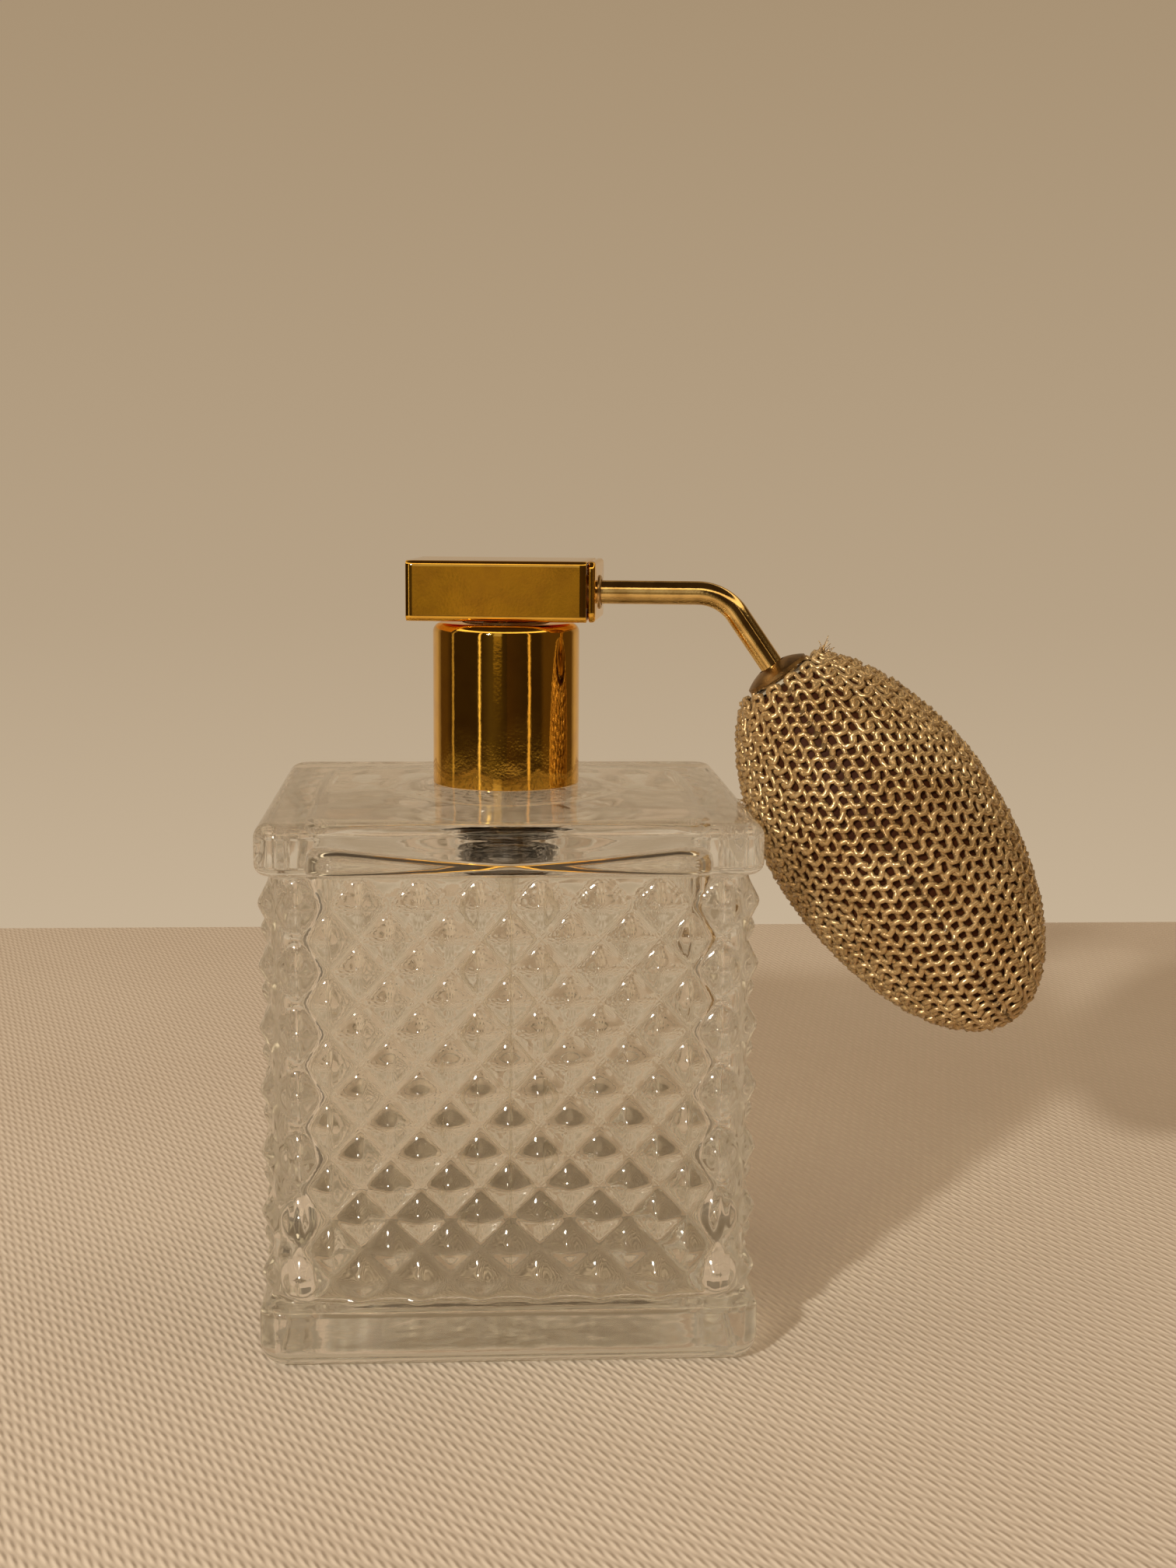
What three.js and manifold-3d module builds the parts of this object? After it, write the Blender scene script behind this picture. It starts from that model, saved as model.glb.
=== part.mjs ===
// Bulb perfume atomiser: a square pressed-glass bottle with a screw collar, a box-shaped spray head
// and a netted rubber bulb on a bent air tube.
// Millimetres, +Z up. The origin is the middle of the bottle's base, on the surface it stands on.
// The bottle's faces look along X and Y. The spray head is turned about Z, with the bulb on its +X side.
import * as THREE from 'three';
import { mergeVertices } from 'three/addons/utils/BufferGeometryUtils.js';
import Module from 'manifold-3d';

const wasm = await Module();
wasm.setup();

// ---------- driving dimensions ----------

const GAP = 0.3; // clearance left between pieces that touch
const ROUND = 28; // sides of the large turned pieces
const SMALL_ROUND = 14; // sides of the small turned pieces

// bottle
const BOTTLE_HALF = 32; // half the width over the ledge and the base band
const BOTTLE_HEIGHT = 70.3; // shoulder height
const BAND_CORNER = 3.4; // plan radius of the bands' corners
const BASE_BAND = 8;
const BASE_EDGE = 3.2; // radius of the edge round the base
const LEDGE = 6.6; // height of the plain ledge under the shoulder
const LEDGE_EDGE = 1.9; // radius of the ledge's edges
const CROWN = 0.9; // rise of the domed shoulder at the neck
const CROWN_RADIUS = 29;
const CORE_HALF = 30; // half the width at the bottom of the pattern's grooves
const CORE_CORNER = 2.6;
const CAVITY_HALF = 27.2;
const CAVITY_CORNER = 5;
const CAVITY_EDGE = 4.5;
const CAVITY_FLOOR = 5.5;
const CAVITY_TOP = 65.6;

// pressed diamond pattern
const DIAMOND_WIDTH = 7.6;
const DIAMOND_HEIGHT = 8.05;
const DIAMOND_COLUMNS = 8;
const DIAMOND_ROWS = 7;
const TOP_ROW_Z = 59.7; // height of the top row's points
const POINT_PLANE = 31.7; // distance of the points from the bottle's axis
const POINT_RELIEF = 1.5; // height of a point over its grooves
const PATTERN_HALF = 29.6; // half the width of the patterned panel

// neck
const NECK_RADIUS = 7.7;
const NECK_BORE = 6.5;
const NECK_TOP = 85.3;
const THREAD_TURNS = 1.5;
const THREAD_PITCH = 4;
const THREAD_RADIUS = 0.9;
const THREAD_CENTRE = 7.3;
const THREAD_START = 75;

// collar
const COLLAR_RADIUS = 10;
const COLLAR_WALL = 0.45;
const COLLAR_BOTTOM = 71.5;
const COLLAR_TOP = 93.4;
const COLLAR_FILLET = 1.3;
const COLLAR_HOLE = 6;
const LINER_OUTER = 9.25;
const LINER_BORE = 8.5;

// head, in its own turned frame
const HEAD_TURN = -8; // degrees about Z
const HEAD_LEFT = -12.6;
const HEAD_RIGHT = 12.75;
const HEAD_DEPTH = 15.6;
const HEAD_BOTTOM = 93.85;
const HEAD_TOP = 101.95;
const HEAD_WALL = 0.5;
const HEAD_EDGE = 0.7; // outer radius of the long folded edges
const PLATE = 0.85; // thickness of the end plates
const CAP_CORNER = 1.3; // corner radius of the air-side end plate

// stem and dip tube
const STEM_RADIUS = 3.2;
const STEM_BORE = 2;
const STEM_BOTTOM = 82;
const DIP_RADIUS = 1.5;
const DIP_BORE = 0.9;
const DIP_BOTTOM = 7;

// air tube
const TUBE_RADIUS = 1.6;
const TUBE_BORE = 1.1;
const TUBE_HEIGHT = 97.6; // height of the level run
const TUBE_START = 5; // the tube's inner end, inside the head
const TUBE_CORNER = 29.5; // where the level run's line meets the sloping run's line
const TUBE_DROP = 55.2; // slope of the lower run, in degrees below level
const BEND_RADIUS = 6.6;
const DROP_LENGTH = 13.1; // from that corner to the bulb's mouth plane

// bulb, measured along its own axis from the mouth plane
const BULB_LENGTH = 57.6;
const BULB_RADIUS = 16.2; // over the net
const BULB_WIDEST = 25.5;
const NECK_REACH = 27.5; // length of the curve that closes towards the mouth
const NECK_POWER = 1.75; // below 2, so that the mouth end is more pointed than an ellipse
const NET_THICKNESS = 0.6;
const RUBBER_WALL = 1.1;
const DOME_RADIUS = 4.5;
const DOME_HEIGHT = 1.4;
const DOME_RIM = -0.2; // place of the dome's outer rim
const DOME_WALL = 0.4;
const VALVE_RADIUS = 2.9;
const BALL_RADIUS = 1.3;
const BALL_PLACE = 5.2;

// ---------- materials ----------

const metal = (color, roughness) => new THREE.MeshStandardMaterial({ color, roughness, metalness: 1 });
const plain = (color, roughness) => new THREE.MeshStandardMaterial({ color, roughness, metalness: 0 });

const material = {
  glass: () => new THREE.MeshStandardMaterial({
    color: 0xdcd8cc, roughness: 0.05, metalness: 0, transparent: true, opacity: 0.35,
  }),
  gold: () => metal(0xc8932f, 0.12),
  agedBrass: () => metal(0x8f6f38, 0.42),
  innerBrass: () => metal(0xb08d57, 0.35),
  steel: () => metal(0xc9c9c6, 0.2),
  rubber: () => plain(0x4a1d16, 0.6),
  seal: () => plain(0x2b2624, 0.7),
  plastic: () => plain(0xe6dfcf, 0.45),
  darkPlastic: () => plain(0x2e1d14, 0.4),
  net: () => plain(0xb7935c, 0.55),
  thread: () => plain(0xd8c49c, 0.8),
};

// ---------- solids ----------

/** A manifold solid from a closed geometry, with its shared vertices merged. */
function toSolid(geometry) {
  const bare = geometry.clone();
  bare.deleteAttribute('normal');
  bare.deleteAttribute('uv');
  const merged = mergeVertices(bare, 1e-5);
  return new wasm.Manifold(new wasm.Mesh({
    numProp: 3,
    vertProperties: new Float32Array(merged.attributes.position.array),
    triVerts: new Uint32Array(merged.index.array),
  }));
}

/** A geometry from a manifold solid. */
function toGeometry(solid) {
  const mesh = solid.getMesh();
  const geometry = new THREE.BufferGeometry();
  geometry.setAttribute('position', new THREE.BufferAttribute(mesh.vertProperties, 3));
  geometry.setIndex(new THREE.BufferAttribute(mesh.triVerts, 1));
  geometry.computeVertexNormals();
  return geometry;
}

const join = (geometries) => toGeometry(geometries.map(toSolid).reduce((whole, next) => whole.add(next)));

/** A geometry with other geometries cut out of it. */
function cut(geometry, tools) {
  return toGeometry(tools.map(toSolid).reduce((rest, tool) => rest.subtract(tool), toSolid(geometry)));
}

/** A piece turned about Z. The profile is [radius, z] points, in order round the solid, wound outwards. */
function turned(profile, sides = ROUND) {
  const points = profile.map(([radius, z]) => new THREE.Vector2(radius, z));
  return new THREE.LatheGeometry(points, sides).rotateX(Math.PI / 2);
}

/** A turned ring or sleeve between two radii and two heights. */
function sleeve(inner, outer, bottom, top, sides = ROUND) {
  return turned([[inner, bottom], [outer, bottom], [outer, top], [inner, top], [inner, bottom]], sides);
}

/** A turned solid cylinder between two heights. */
function rod(radius, bottom, top, sides = ROUND) {
  return turned([[0, bottom], [radius, bottom], [radius, top], [0, top]], sides);
}

/** Points on an arc of a profile, from one angle to another, in degrees from +r towards +z. */
function arc(centreR, centreZ, radius, from, to, steps) {
  return Array.from({ length: steps + 1 }, (_, i) => {
    const angle = THREE.MathUtils.degToRad(from + (to - from) * i / steps);
    return [centreR + radius * Math.cos(angle), centreZ + radius * Math.sin(angle)];
  });
}

/** A rectangle with rounded corners, centred on the origin. */
function roundedRectangle(width, height, radius) {
  const x = width / 2;
  const y = height / 2;
  const shape = new THREE.Shape();
  shape.moveTo(x - radius, -y);
  shape.absarc(x - radius, radius - y, radius, -Math.PI / 2, 0);
  shape.absarc(x - radius, y - radius, radius, 0, Math.PI / 2);
  shape.absarc(radius - x, y - radius, radius, Math.PI / 2, Math.PI);
  shape.absarc(radius - x, radius - y, radius, Math.PI, Math.PI * 1.5);
  return shape;
}

/** A square block with rounded corners and rounded top and bottom edges, between two heights. */
function block(half, corner, edge, bottom, top) {
  const shape = roundedRectangle(2 * (half - edge), 2 * (half - edge), Math.max(corner - edge, 0.4));
  return new THREE.ExtrudeGeometry(shape, {
    depth: top - bottom - 2 * edge,
    bevelEnabled: edge > 0,
    bevelThickness: edge,
    bevelSize: edge,
    bevelSegments: 3,
    curveSegments: 2,
  }).translate(0, 0, bottom + edge);
}

/** A flat plate or tube wall: a shape in the YZ plane, extruded along +X from a start to an end. */
function alongX(shape, start, end) {
  return new THREE.ExtrudeGeometry(shape, { depth: end - start, bevelEnabled: false, curveSegments: 4 })
    .rotateX(Math.PI / 2)
    .rotateZ(Math.PI / 2)
    .translate(start, 0, 0);
}

/** A turned piece laid along +X at the air tube's height. */
function turnedAlongX(profile, sides) {
  return turned(profile, sides).rotateY(Math.PI / 2).translate(0, 0, TUBE_HEIGHT);
}

function circle(radius, y = 0, z = 0) {
  const shape = new THREE.Path();
  shape.absarc(y, z, radius, 0, Math.PI * 2);
  return shape;
}

function part(name, geometry, finish) {
  const mesh = new THREE.Mesh(geometry, finish);
  mesh.name = name;
  return mesh;
}

// ---------- bottle ----------

/** A helical ridge, whose centre line starts at a height and climbs one pitch a turn. */
class Helix extends THREE.Curve {
  getPoint(t, target = new THREE.Vector3()) {
    const angle = t * THREAD_TURNS * 2 * Math.PI;
    const z = THREAD_START + t * THREAD_TURNS * THREAD_PITCH;
    return target.set(THREAD_CENTRE * Math.cos(angle), THREAD_CENTRE * Math.sin(angle), z);
  }
}

function neckThread() {
  const section = new THREE.Shape(circle(THREAD_RADIUS).getPoints(2));
  return new THREE.ExtrudeGeometry(section, { extrudePath: new Helix(), steps: 30, bevelEnabled: false });
}

/**
 * The diamond pattern of the -Y face: a field of low four-sided points in staggered rows.
 * It is a grid of half-diamond cells, each split along the groove that crosses it, with a flat back.
 */
function patternPanel() {
  const columns = 2 * DIAMOND_COLUMNS;
  const rows = 2 * DIAMOND_ROWS;
  const positions = [];
  const triangles = [];
  const front = (i, j) => j * (columns + 1) + i;
  const back = (i, j) => front(i, j) + (columns + 1) * (rows + 1);
  const quad = (a, b, c, d) => triangles.push(a, b, c, a, c, d);
  for (const isFront of [true, false]) {
    for (let j = 0; j <= rows; j += 1) {
      for (let i = 0; i <= columns; i += 1) {
        const isPoint = i % 2 === j % 2 && i > 0 && j > 0 && i < columns && j < rows;
        const depth = POINT_PLANE - (isPoint ? 0 : POINT_RELIEF);
        const x = (i - columns / 2) * DIAMOND_WIDTH / 2;
        positions.push(x, isFront ? -depth : 1 - CORE_HALF, TOP_ROW_Z + (1 - j) * DIAMOND_HEIGHT / 2);
      }
    }
  }
  for (let j = 0; j < rows; j += 1) {
    for (let i = 0; i < columns; i += 1) {
      quad(back(i, j), back(i + 1, j), back(i + 1, j + 1), back(i, j + 1));
      const corners = [front(i, j), front(i, j + 1), front(i + 1, j + 1), front(i + 1, j)];
      const turn = (i + j + 1) % 2;
      quad(...corners.slice(turn), ...corners.slice(0, turn));
    }
  }
  for (let i = 0; i < columns; i += 1) {
    quad(front(i, 0), front(i + 1, 0), back(i + 1, 0), back(i, 0));
    quad(front(i + 1, rows), front(i, rows), back(i, rows), back(i + 1, rows));
  }
  for (let j = 0; j < rows; j += 1) {
    quad(front(0, j + 1), front(0, j), back(0, j), back(0, j + 1));
    quad(front(columns, j), front(columns, j + 1), back(columns, j + 1), back(columns, j));
  }
  const field = new THREE.BufferGeometry();
  field.setAttribute('position', new THREE.Float32BufferAttribute(positions, 3));
  field.setIndex(triangles);
  const trim = new THREE.BoxGeometry(2 * PATTERN_HALF, 2 * BOTTLE_HALF, 2 * BOTTLE_HEIGHT);
  return toGeometry(toSolid(field).intersect(toSolid(trim)));
}

/** The low dome of the shoulder. It starts just under the flat shoulder, so that it rises through it. */
function crownGeometry() {
  const steps = 5;
  const sunk = 0.1;
  const dome = Array.from({ length: steps + 1 }, (_, i) => {
    const share = 1 - i / steps;
    return [CROWN_RADIUS * share, BOTTLE_HEIGHT - sunk + (CROWN + sunk) * (1 - share ** 2)];
  });
  return turned([[0, BOTTLE_HEIGHT - 1], [CROWN_RADIUS, BOTTLE_HEIGHT - 1], ...dome], 40);
}

/** The plain neck with its rounded mouth, still solid. */
function neckGeometry() {
  const lip = 0.5;
  const foot = BOTTLE_HEIGHT - 1;
  return turned([
    [0, foot],
    [NECK_RADIUS, foot],
    ...arc(NECK_RADIUS - lip, NECK_TOP - lip, lip, 0, 90, 2),
    [0, NECK_TOP],
  ]);
}

/** The bore of the neck, which flares into the cavity. */
function boreGeometry() {
  const flare = NECK_BORE + 2.5;
  return turned([
    [0, CAVITY_TOP - 4],
    [flare, CAVITY_TOP - 4],
    [flare, CAVITY_TOP - 0.5],
    [NECK_BORE, CAVITY_TOP + 2],
    [NECK_BORE, NECK_TOP + 2],
    [0, NECK_TOP + 2],
  ]);
}

function bottleGeometry() {
  const panel = patternPanel();
  const panels = [0, 90, 180, 270].map((angle) => panel.clone().rotateZ(THREE.MathUtils.degToRad(angle)));
  const shoulder = BOTTLE_HEIGHT - LEDGE;
  const outside = join([
    block(BOTTLE_HALF, BAND_CORNER, BASE_EDGE, 0, BASE_BAND),
    block(CORE_HALF, CORE_CORNER, 1, 2, BOTTLE_HEIGHT - 1),
    block(BOTTLE_HALF, BAND_CORNER, LEDGE_EDGE, shoulder, BOTTLE_HEIGHT),
    ...panels,
    crownGeometry(),
    neckGeometry(),
    neckThread(),
  ]);
  return cut(outside, [
    block(CAVITY_HALF, CAVITY_CORNER, CAVITY_EDGE, CAVITY_FLOOR, CAVITY_TOP),
    boreGeometry(),
  ]);
}

// ---------- seal and collar ----------

const FLANGE_BOTTOM = NECK_TOP + 1.8;
const FLANGE_TOP = FLANGE_BOTTOM + 1.2;

function gasketGeometry() {
  return sleeve(NECK_BORE + 0.2, NECK_RADIUS + 0.4, NECK_TOP + GAP, FLANGE_BOTTOM - GAP);
}

/** A thin deep-drawn cup, open below, with a rolled lower edge and a hole in its top. */
function collarShellGeometry() {
  const inner = COLLAR_RADIUS - COLLAR_WALL;
  const filletR = COLLAR_RADIUS - COLLAR_FILLET;
  const filletZ = COLLAR_TOP - COLLAR_FILLET;
  return turned([
    [inner, COLLAR_BOTTOM],
    [COLLAR_RADIUS - 0.15, COLLAR_BOTTOM],
    [COLLAR_RADIUS, COLLAR_BOTTOM + 0.2],
    ...arc(filletR, filletZ, COLLAR_FILLET, 0, 90, 4),
    [COLLAR_HOLE, COLLAR_TOP],
    [COLLAR_HOLE, COLLAR_TOP - COLLAR_WALL],
    ...arc(filletR, filletZ, COLLAR_FILLET - COLLAR_WALL, 90, 0, 3),
    [inner, COLLAR_BOTTOM],
  ]);
}

/** The threaded insert: a sleeve round the neck with an inward lip over the seat flange. */
function collarLinerGeometry() {
  const lipBottom = FLANGE_TOP + GAP;
  const lipTop = lipBottom + 2.2;
  return turned([
    [LINER_BORE, COLLAR_BOTTOM + 0.6],
    [LINER_OUTER, COLLAR_BOTTOM + 0.6],
    [LINER_OUTER, lipTop],
    [COLLAR_HOLE + 0.2, lipTop],
    [COLLAR_HOLE + 0.2, lipBottom],
    [LINER_BORE, lipBottom],
    [LINER_BORE, COLLAR_BOTTOM + 0.6],
  ]);
}

const thrustWasherGeometry = () => sleeve(
  COLLAR_HOLE + 0.3, LINER_OUTER - 1, FLANGE_TOP + 2 * GAP + 2.2, COLLAR_TOP - COLLAR_WALL - GAP,
);

// ---------- spray head ----------

const HEAD_MIDDLE = (HEAD_TOP + HEAD_BOTTOM) / 2;
const HEAD_HEIGHT = HEAD_TOP - HEAD_BOTTOM;
const SHELL_RIGHT = HEAD_RIGHT - PLATE - GAP;
const HUB_RADIUS = COLLAR_HOLE - GAP;
const STEM_TOP = HEAD_BOTTOM + HEAD_WALL + 1.6;

/** The folded box: a rectangular tube open at both ends, with a round hole under it for the stem. */
function headShellGeometry() {
  const inside = 2 * HEAD_WALL;
  const wall = roundedRectangle(HEAD_DEPTH, HEAD_HEIGHT, HEAD_EDGE);
  wall.holes.push(roundedRectangle(HEAD_DEPTH - inside, HEAD_HEIGHT - inside, HEAD_EDGE - 0.4));
  const tube = alongX(wall, HEAD_LEFT, SHELL_RIGHT).translate(0, 0, HEAD_MIDDLE);
  return cut(tube, [rod(STEM_RADIUS + GAP, HEAD_BOTTOM - 1, HEAD_BOTTOM + HEAD_WALL + 0.5)]);
}

/** The plate let into the box's spray end, flush but for a small step, with the nozzle's hole. */
function sprayEndPlateGeometry() {
  const margin = 2 * (HEAD_WALL + GAP);
  const face = roundedRectangle(HEAD_DEPTH - margin, HEAD_HEIGHT - margin, 0.3);
  face.holes.push(circle(2.6, 0, TUBE_HEIGHT - HEAD_MIDDLE));
  return alongX(face, HEAD_LEFT + 0.35, HEAD_LEFT + 0.35 + PLATE).translate(0, 0, HEAD_MIDDLE);
}

/** The plate that closes the air side, with rounder corners and the hole for the tube's bush. */
function airEndPlateGeometry() {
  const face = roundedRectangle(HEAD_DEPTH, HEAD_HEIGHT, CAP_CORNER);
  face.holes.push(circle(2.6, 0, TUBE_HEIGHT - HEAD_MIDDLE));
  return alongX(face, HEAD_RIGHT - PLATE, HEAD_RIGHT).translate(0, 0, HEAD_MIDDLE);
}

/** The moulded core: an air bore right through, and a liquid bore up from the stem. */
function atomiserBlockGeometry() {
  const left = HEAD_LEFT + 0.35 + PLATE + GAP;
  const right = SHELL_RIGHT - 1;
  const low = HEAD_BOTTOM + HEAD_WALL + GAP;
  const high = HEAD_TOP - HEAD_WALL - GAP;
  const core = new THREE.BoxGeometry(right - left, HEAD_DEPTH - 2 * HEAD_WALL - 1.2, high - low)
    .translate((left + right) / 2, 0, (low + high) / 2);
  const airBore = rod(TUBE_RADIUS + GAP, left - 1, right + 1, SMALL_ROUND)
    .rotateY(Math.PI / 2)
    .translate(0, 0, TUBE_HEIGHT);
  return cut(core, [
    airBore,
    rod(STEM_RADIUS + GAP, low - 1, STEM_TOP + GAP),
    rod(0.8, low, TUBE_HEIGHT, SMALL_ROUND),
  ]);
}

/** The nozzle: a stepped disc with the spray hole, set in the spray end's plate. */
function sprayNozzleGeometry() {
  return turnedAlongX([
    [0.35, HEAD_LEFT - 0.1],
    [1.9, HEAD_LEFT - 0.1],
    [2.3, HEAD_LEFT + 0.3],
    [2.3, HEAD_LEFT + 1.2],
    [1.5, HEAD_LEFT + 1.6],
    [1.5, HEAD_LEFT + 3.4],
    [1, HEAD_LEFT + 3.4],
    [1, HEAD_LEFT + 1.4],
    [0.35, HEAD_LEFT + 0.7],
    [0.35, HEAD_LEFT - 0.1],
  ], SMALL_ROUND);
}

/** The inner air jet, a small tapered tube between the air tube's end and the nozzle. */
function airJetGeometry() {
  const tip = HEAD_LEFT + 4;
  const end = TUBE_START - 0.6;
  return turnedAlongX([
    [0.3, tip], [0.6, tip], [1.5, tip + 2], [1.5, end], [0.9, end], [0.3, end - 2], [0.3, tip],
  ], SMALL_ROUND);
}

const stemGeometry = () => sleeve(STEM_BORE, STEM_RADIUS, STEM_BOTTOM, STEM_TOP);

/** The flange that the collar clamps on the bottle's mouth, with the hub that carries the head. */
function seatFlangeGeometry() {
  const bore = STEM_RADIUS + GAP;
  return turned([
    [bore, FLANGE_BOTTOM],
    [LINER_BORE - 0.4, FLANGE_BOTTOM],
    [LINER_BORE - 0.4, FLANGE_TOP],
    [HUB_RADIUS, FLANGE_TOP],
    [HUB_RADIUS, HEAD_BOTTOM - GAP],
    [bore, HEAD_BOTTOM - GAP],
    [bore, FLANGE_BOTTOM],
  ]);
}

function dipTubeFerruleGeometry() {
  const bore = DIP_RADIUS + GAP;
  const bottom = STEM_BOTTOM - 2;
  const chamfer = 0.6;
  return turned([
    [bore, bottom],
    [STEM_RADIUS - chamfer, bottom],
    [STEM_RADIUS, bottom + chamfer],
    [STEM_RADIUS, STEM_BOTTOM - GAP],
    [bore, STEM_BOTTOM - GAP],
    [bore, bottom],
  ], SMALL_ROUND);
}

const dipTubeGeometry = () => sleeve(DIP_BORE, DIP_RADIUS, DIP_BOTTOM, STEM_TOP - 4, SMALL_ROUND);

// ---------- air tube ----------

const DROP = THREE.MathUtils.degToRad(TUBE_DROP);

/** The tube's centre line: a level run, one bend, and a sloping run that ends inside the bulb's valve. */
function airTubePath() {
  const down = new THREE.Vector3(Math.cos(DROP), 0, -Math.sin(DROP));
  const corner = new THREE.Vector3(TUBE_CORNER, 0, TUBE_HEIGHT);
  const setback = BEND_RADIUS * Math.tan(DROP / 2);
  const bendStart = corner.clone().add(new THREE.Vector3(-setback, 0, 0));
  const bendEnd = corner.clone().addScaledVector(down, setback);
  const bend = [];
  for (let i = 1; i < 8; i += 1) {
    const turn = DROP * i / 8;
    bend.push(bendStart.clone().add(
      new THREE.Vector3(BEND_RADIUS * Math.sin(turn), 0, BEND_RADIUS * (Math.cos(turn) - 1)),
    ));
  }
  const end = corner.clone().addScaledVector(down, DROP_LENGTH + 1.7);
  const stations = [new THREE.Vector3(TUBE_START, 0, TUBE_HEIGHT), bendStart, ...bend, bendEnd, end];
  const path = new THREE.CurvePath();
  for (let i = 1; i < stations.length; i += 1) {
    path.add(new THREE.LineCurve3(stations[i - 1], stations[i]));
  }
  return path;
}

function airTubeGeometry() {
  const section = new THREE.Shape(circle(TUBE_RADIUS).getPoints(3));
  section.holes.push(new THREE.Path(circle(TUBE_BORE).getPoints(3)));
  const extrudePath = airTubePath();
  return new THREE.ExtrudeGeometry(section, { extrudePath, steps: 32, bevelEnabled: false });
}

const tubeBushGeometry = () => turnedAlongX([
  [TUBE_RADIUS + 0.2, SHELL_RIGHT - 0.6], [2.3, SHELL_RIGHT - 0.6], [2.3, HEAD_RIGHT + 0.15],
  [2.1, HEAD_RIGHT + 0.3], [TUBE_RADIUS + 0.2, HEAD_RIGHT + 0.3], [TUBE_RADIUS + 0.2, SHELL_RIGHT - 0.6],
], SMALL_ROUND);

// ---------- bulb, along its own axis from the mouth plane ----------

/** The bulb's radius over its net, at a distance along its axis: widest near the middle, egg-shaped. */
function bulbRadius(along) {
  const before = along < BULB_WIDEST;
  const reach = before ? NECK_REACH : BULB_LENGTH - BULB_WIDEST;
  const power = before ? NECK_POWER : 2;
  const share = Math.min(Math.abs(along - BULB_WIDEST) / reach, 1);
  return BULB_RADIUS * Math.sqrt(1 - share ** power);
}

/** Profile points of a surface a given depth inside the net's outside, from the mouth to the tip hole. */
function bulbSide(depth, mouth, mouthPlace, tipHole, steps) {
  const last = BULB_LENGTH - depth;
  const points = [[mouth, mouthPlace]];
  for (let i = 0; i <= steps; i += 1) {
    const along = BULB_WIDEST - (BULB_WIDEST - mouthPlace) * Math.cos(Math.PI / 2 * i / steps);
    const radius = bulbRadius(along) - depth;
    if (radius > mouth + 0.5) {
      points.push([radius, along]);
    }
  }
  for (let i = 1; i <= steps; i += 1) {
    const along = BULB_WIDEST + (last - BULB_WIDEST) * Math.sin(Math.PI / 2 * i / steps);
    const share = Math.min((along - BULB_WIDEST) / (last - BULB_WIDEST), 1);
    const radius = (BULB_RADIUS - depth) * Math.sqrt(1 - share ** 2);
    if (radius > tipHole + 0.5) {
      points.push([radius, along]);
    }
  }
  points.push([tipHole, last]);
  return points;
}

function bulbSkin(outerDepth, wall, mouth, mouthPlace, tipHole) {
  const steps = 7;
  const outside = bulbSide(outerDepth, mouth, mouthPlace, tipHole, steps);
  const inside = bulbSide(outerDepth + wall, mouth, mouthPlace + wall, tipHole, steps).reverse();
  return turned([...outside, ...inside, outside[0]], 24);
}

const rubberBulbGeometry = () => bulbSkin(NET_THICKNESS + GAP, RUBBER_WALL, VALVE_RADIUS + 0.4, 1.6, 1.5);
const bulbNetGeometry = () => bulbSkin(0, NET_THICKNESS, DOME_RADIUS - 0.6, 0.6, 0.8);

/** The shallow cap over the bulb's mouth, with a hole for the air tube. */
function ferruleDomeGeometry() {
  const capRadius = (DOME_RADIUS ** 2 + DOME_HEIGHT ** 2) / (2 * DOME_HEIGHT);
  const centre = capRadius - DOME_HEIGHT + DOME_RIM;
  const hole = TUBE_RADIUS + 0.35;
  const cap = (radius) => {
    const from = Math.asin(hole / radius);
    const to = Math.asin(Math.min(DOME_RADIUS / radius, 1));
    return Array.from({ length: 5 }, (_, i) => {
      const lean = from + (to - from) * i / 4;
      return [radius * Math.sin(lean), centre - radius * Math.cos(lean)];
    });
  };
  const outside = cap(capRadius);
  return turned([...outside, ...cap(capRadius - DOME_WALL).reverse(), outside[0]], 24);
}

/** The thread that gathers the net's mouth under the cap. */
const netTieGeometry = () => sleeve(VALVE_RADIUS + 0.4, DOME_RADIUS - 0.9, 0.75, 1.3, 24);

/** The outlet valve's body: tube socket, ball chamber and inlet hole, with a flange inside the rubber. */
function valveBodyGeometry() {
  const socket = TUBE_RADIUS + 0.35;
  const chamber = BALL_RADIUS + 0.45;
  return turned([
    [socket, 0.5],
    [VALVE_RADIUS, 0.5],
    [VALVE_RADIUS, 3.2],
    [VALVE_RADIUS + 1.5, 3.2],
    [VALVE_RADIUS + 1.5, 4],
    [VALVE_RADIUS, 4],
    [VALVE_RADIUS, 7.4],
    [VALVE_RADIUS - 0.6, 8],
    [0.8, 8],
    [0.8, 6.6],
    [chamber, 6.6],
    [chamber, 2],
    [socket, 2],
    [socket, 0.5],
  ], 20);
}

const ballRetainerGeometry = () => sleeve(0.7, BALL_RADIUS + 0.15, 2.1, 2.6, 20);
const outletBallGeometry = () => new THREE.SphereGeometry(BALL_RADIUS, 12, 8).translate(0, 0, BALL_PLACE);

const TIP = BULB_LENGTH - NET_THICKNESS - GAP; // outer end of the eyelet
const EYELET = TIP - RUBBER_WALL - 0.9; // its inner end

/** The eyelet in the bulb's far end, through which it draws air. */
function inletEyeletGeometry() {
  const bore = 0.5;
  const barrel = 1.2;
  const flange = 2.3;
  const shelf = EYELET + 0.5;
  return turned([
    [bore, EYELET],
    [flange, EYELET],
    [flange, shelf],
    [barrel, shelf],
    [barrel, TIP],
    [bore, TIP],
    [bore, EYELET],
  ], 20);
}

/** The flap that closes the eyelet from inside when the bulb is squeezed. */
const inletFlapGeometry = () => rod(1.7, EYELET - 1.2, EYELET - 0.8, SMALL_ROUND);

// ---------- assembly ----------

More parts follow.
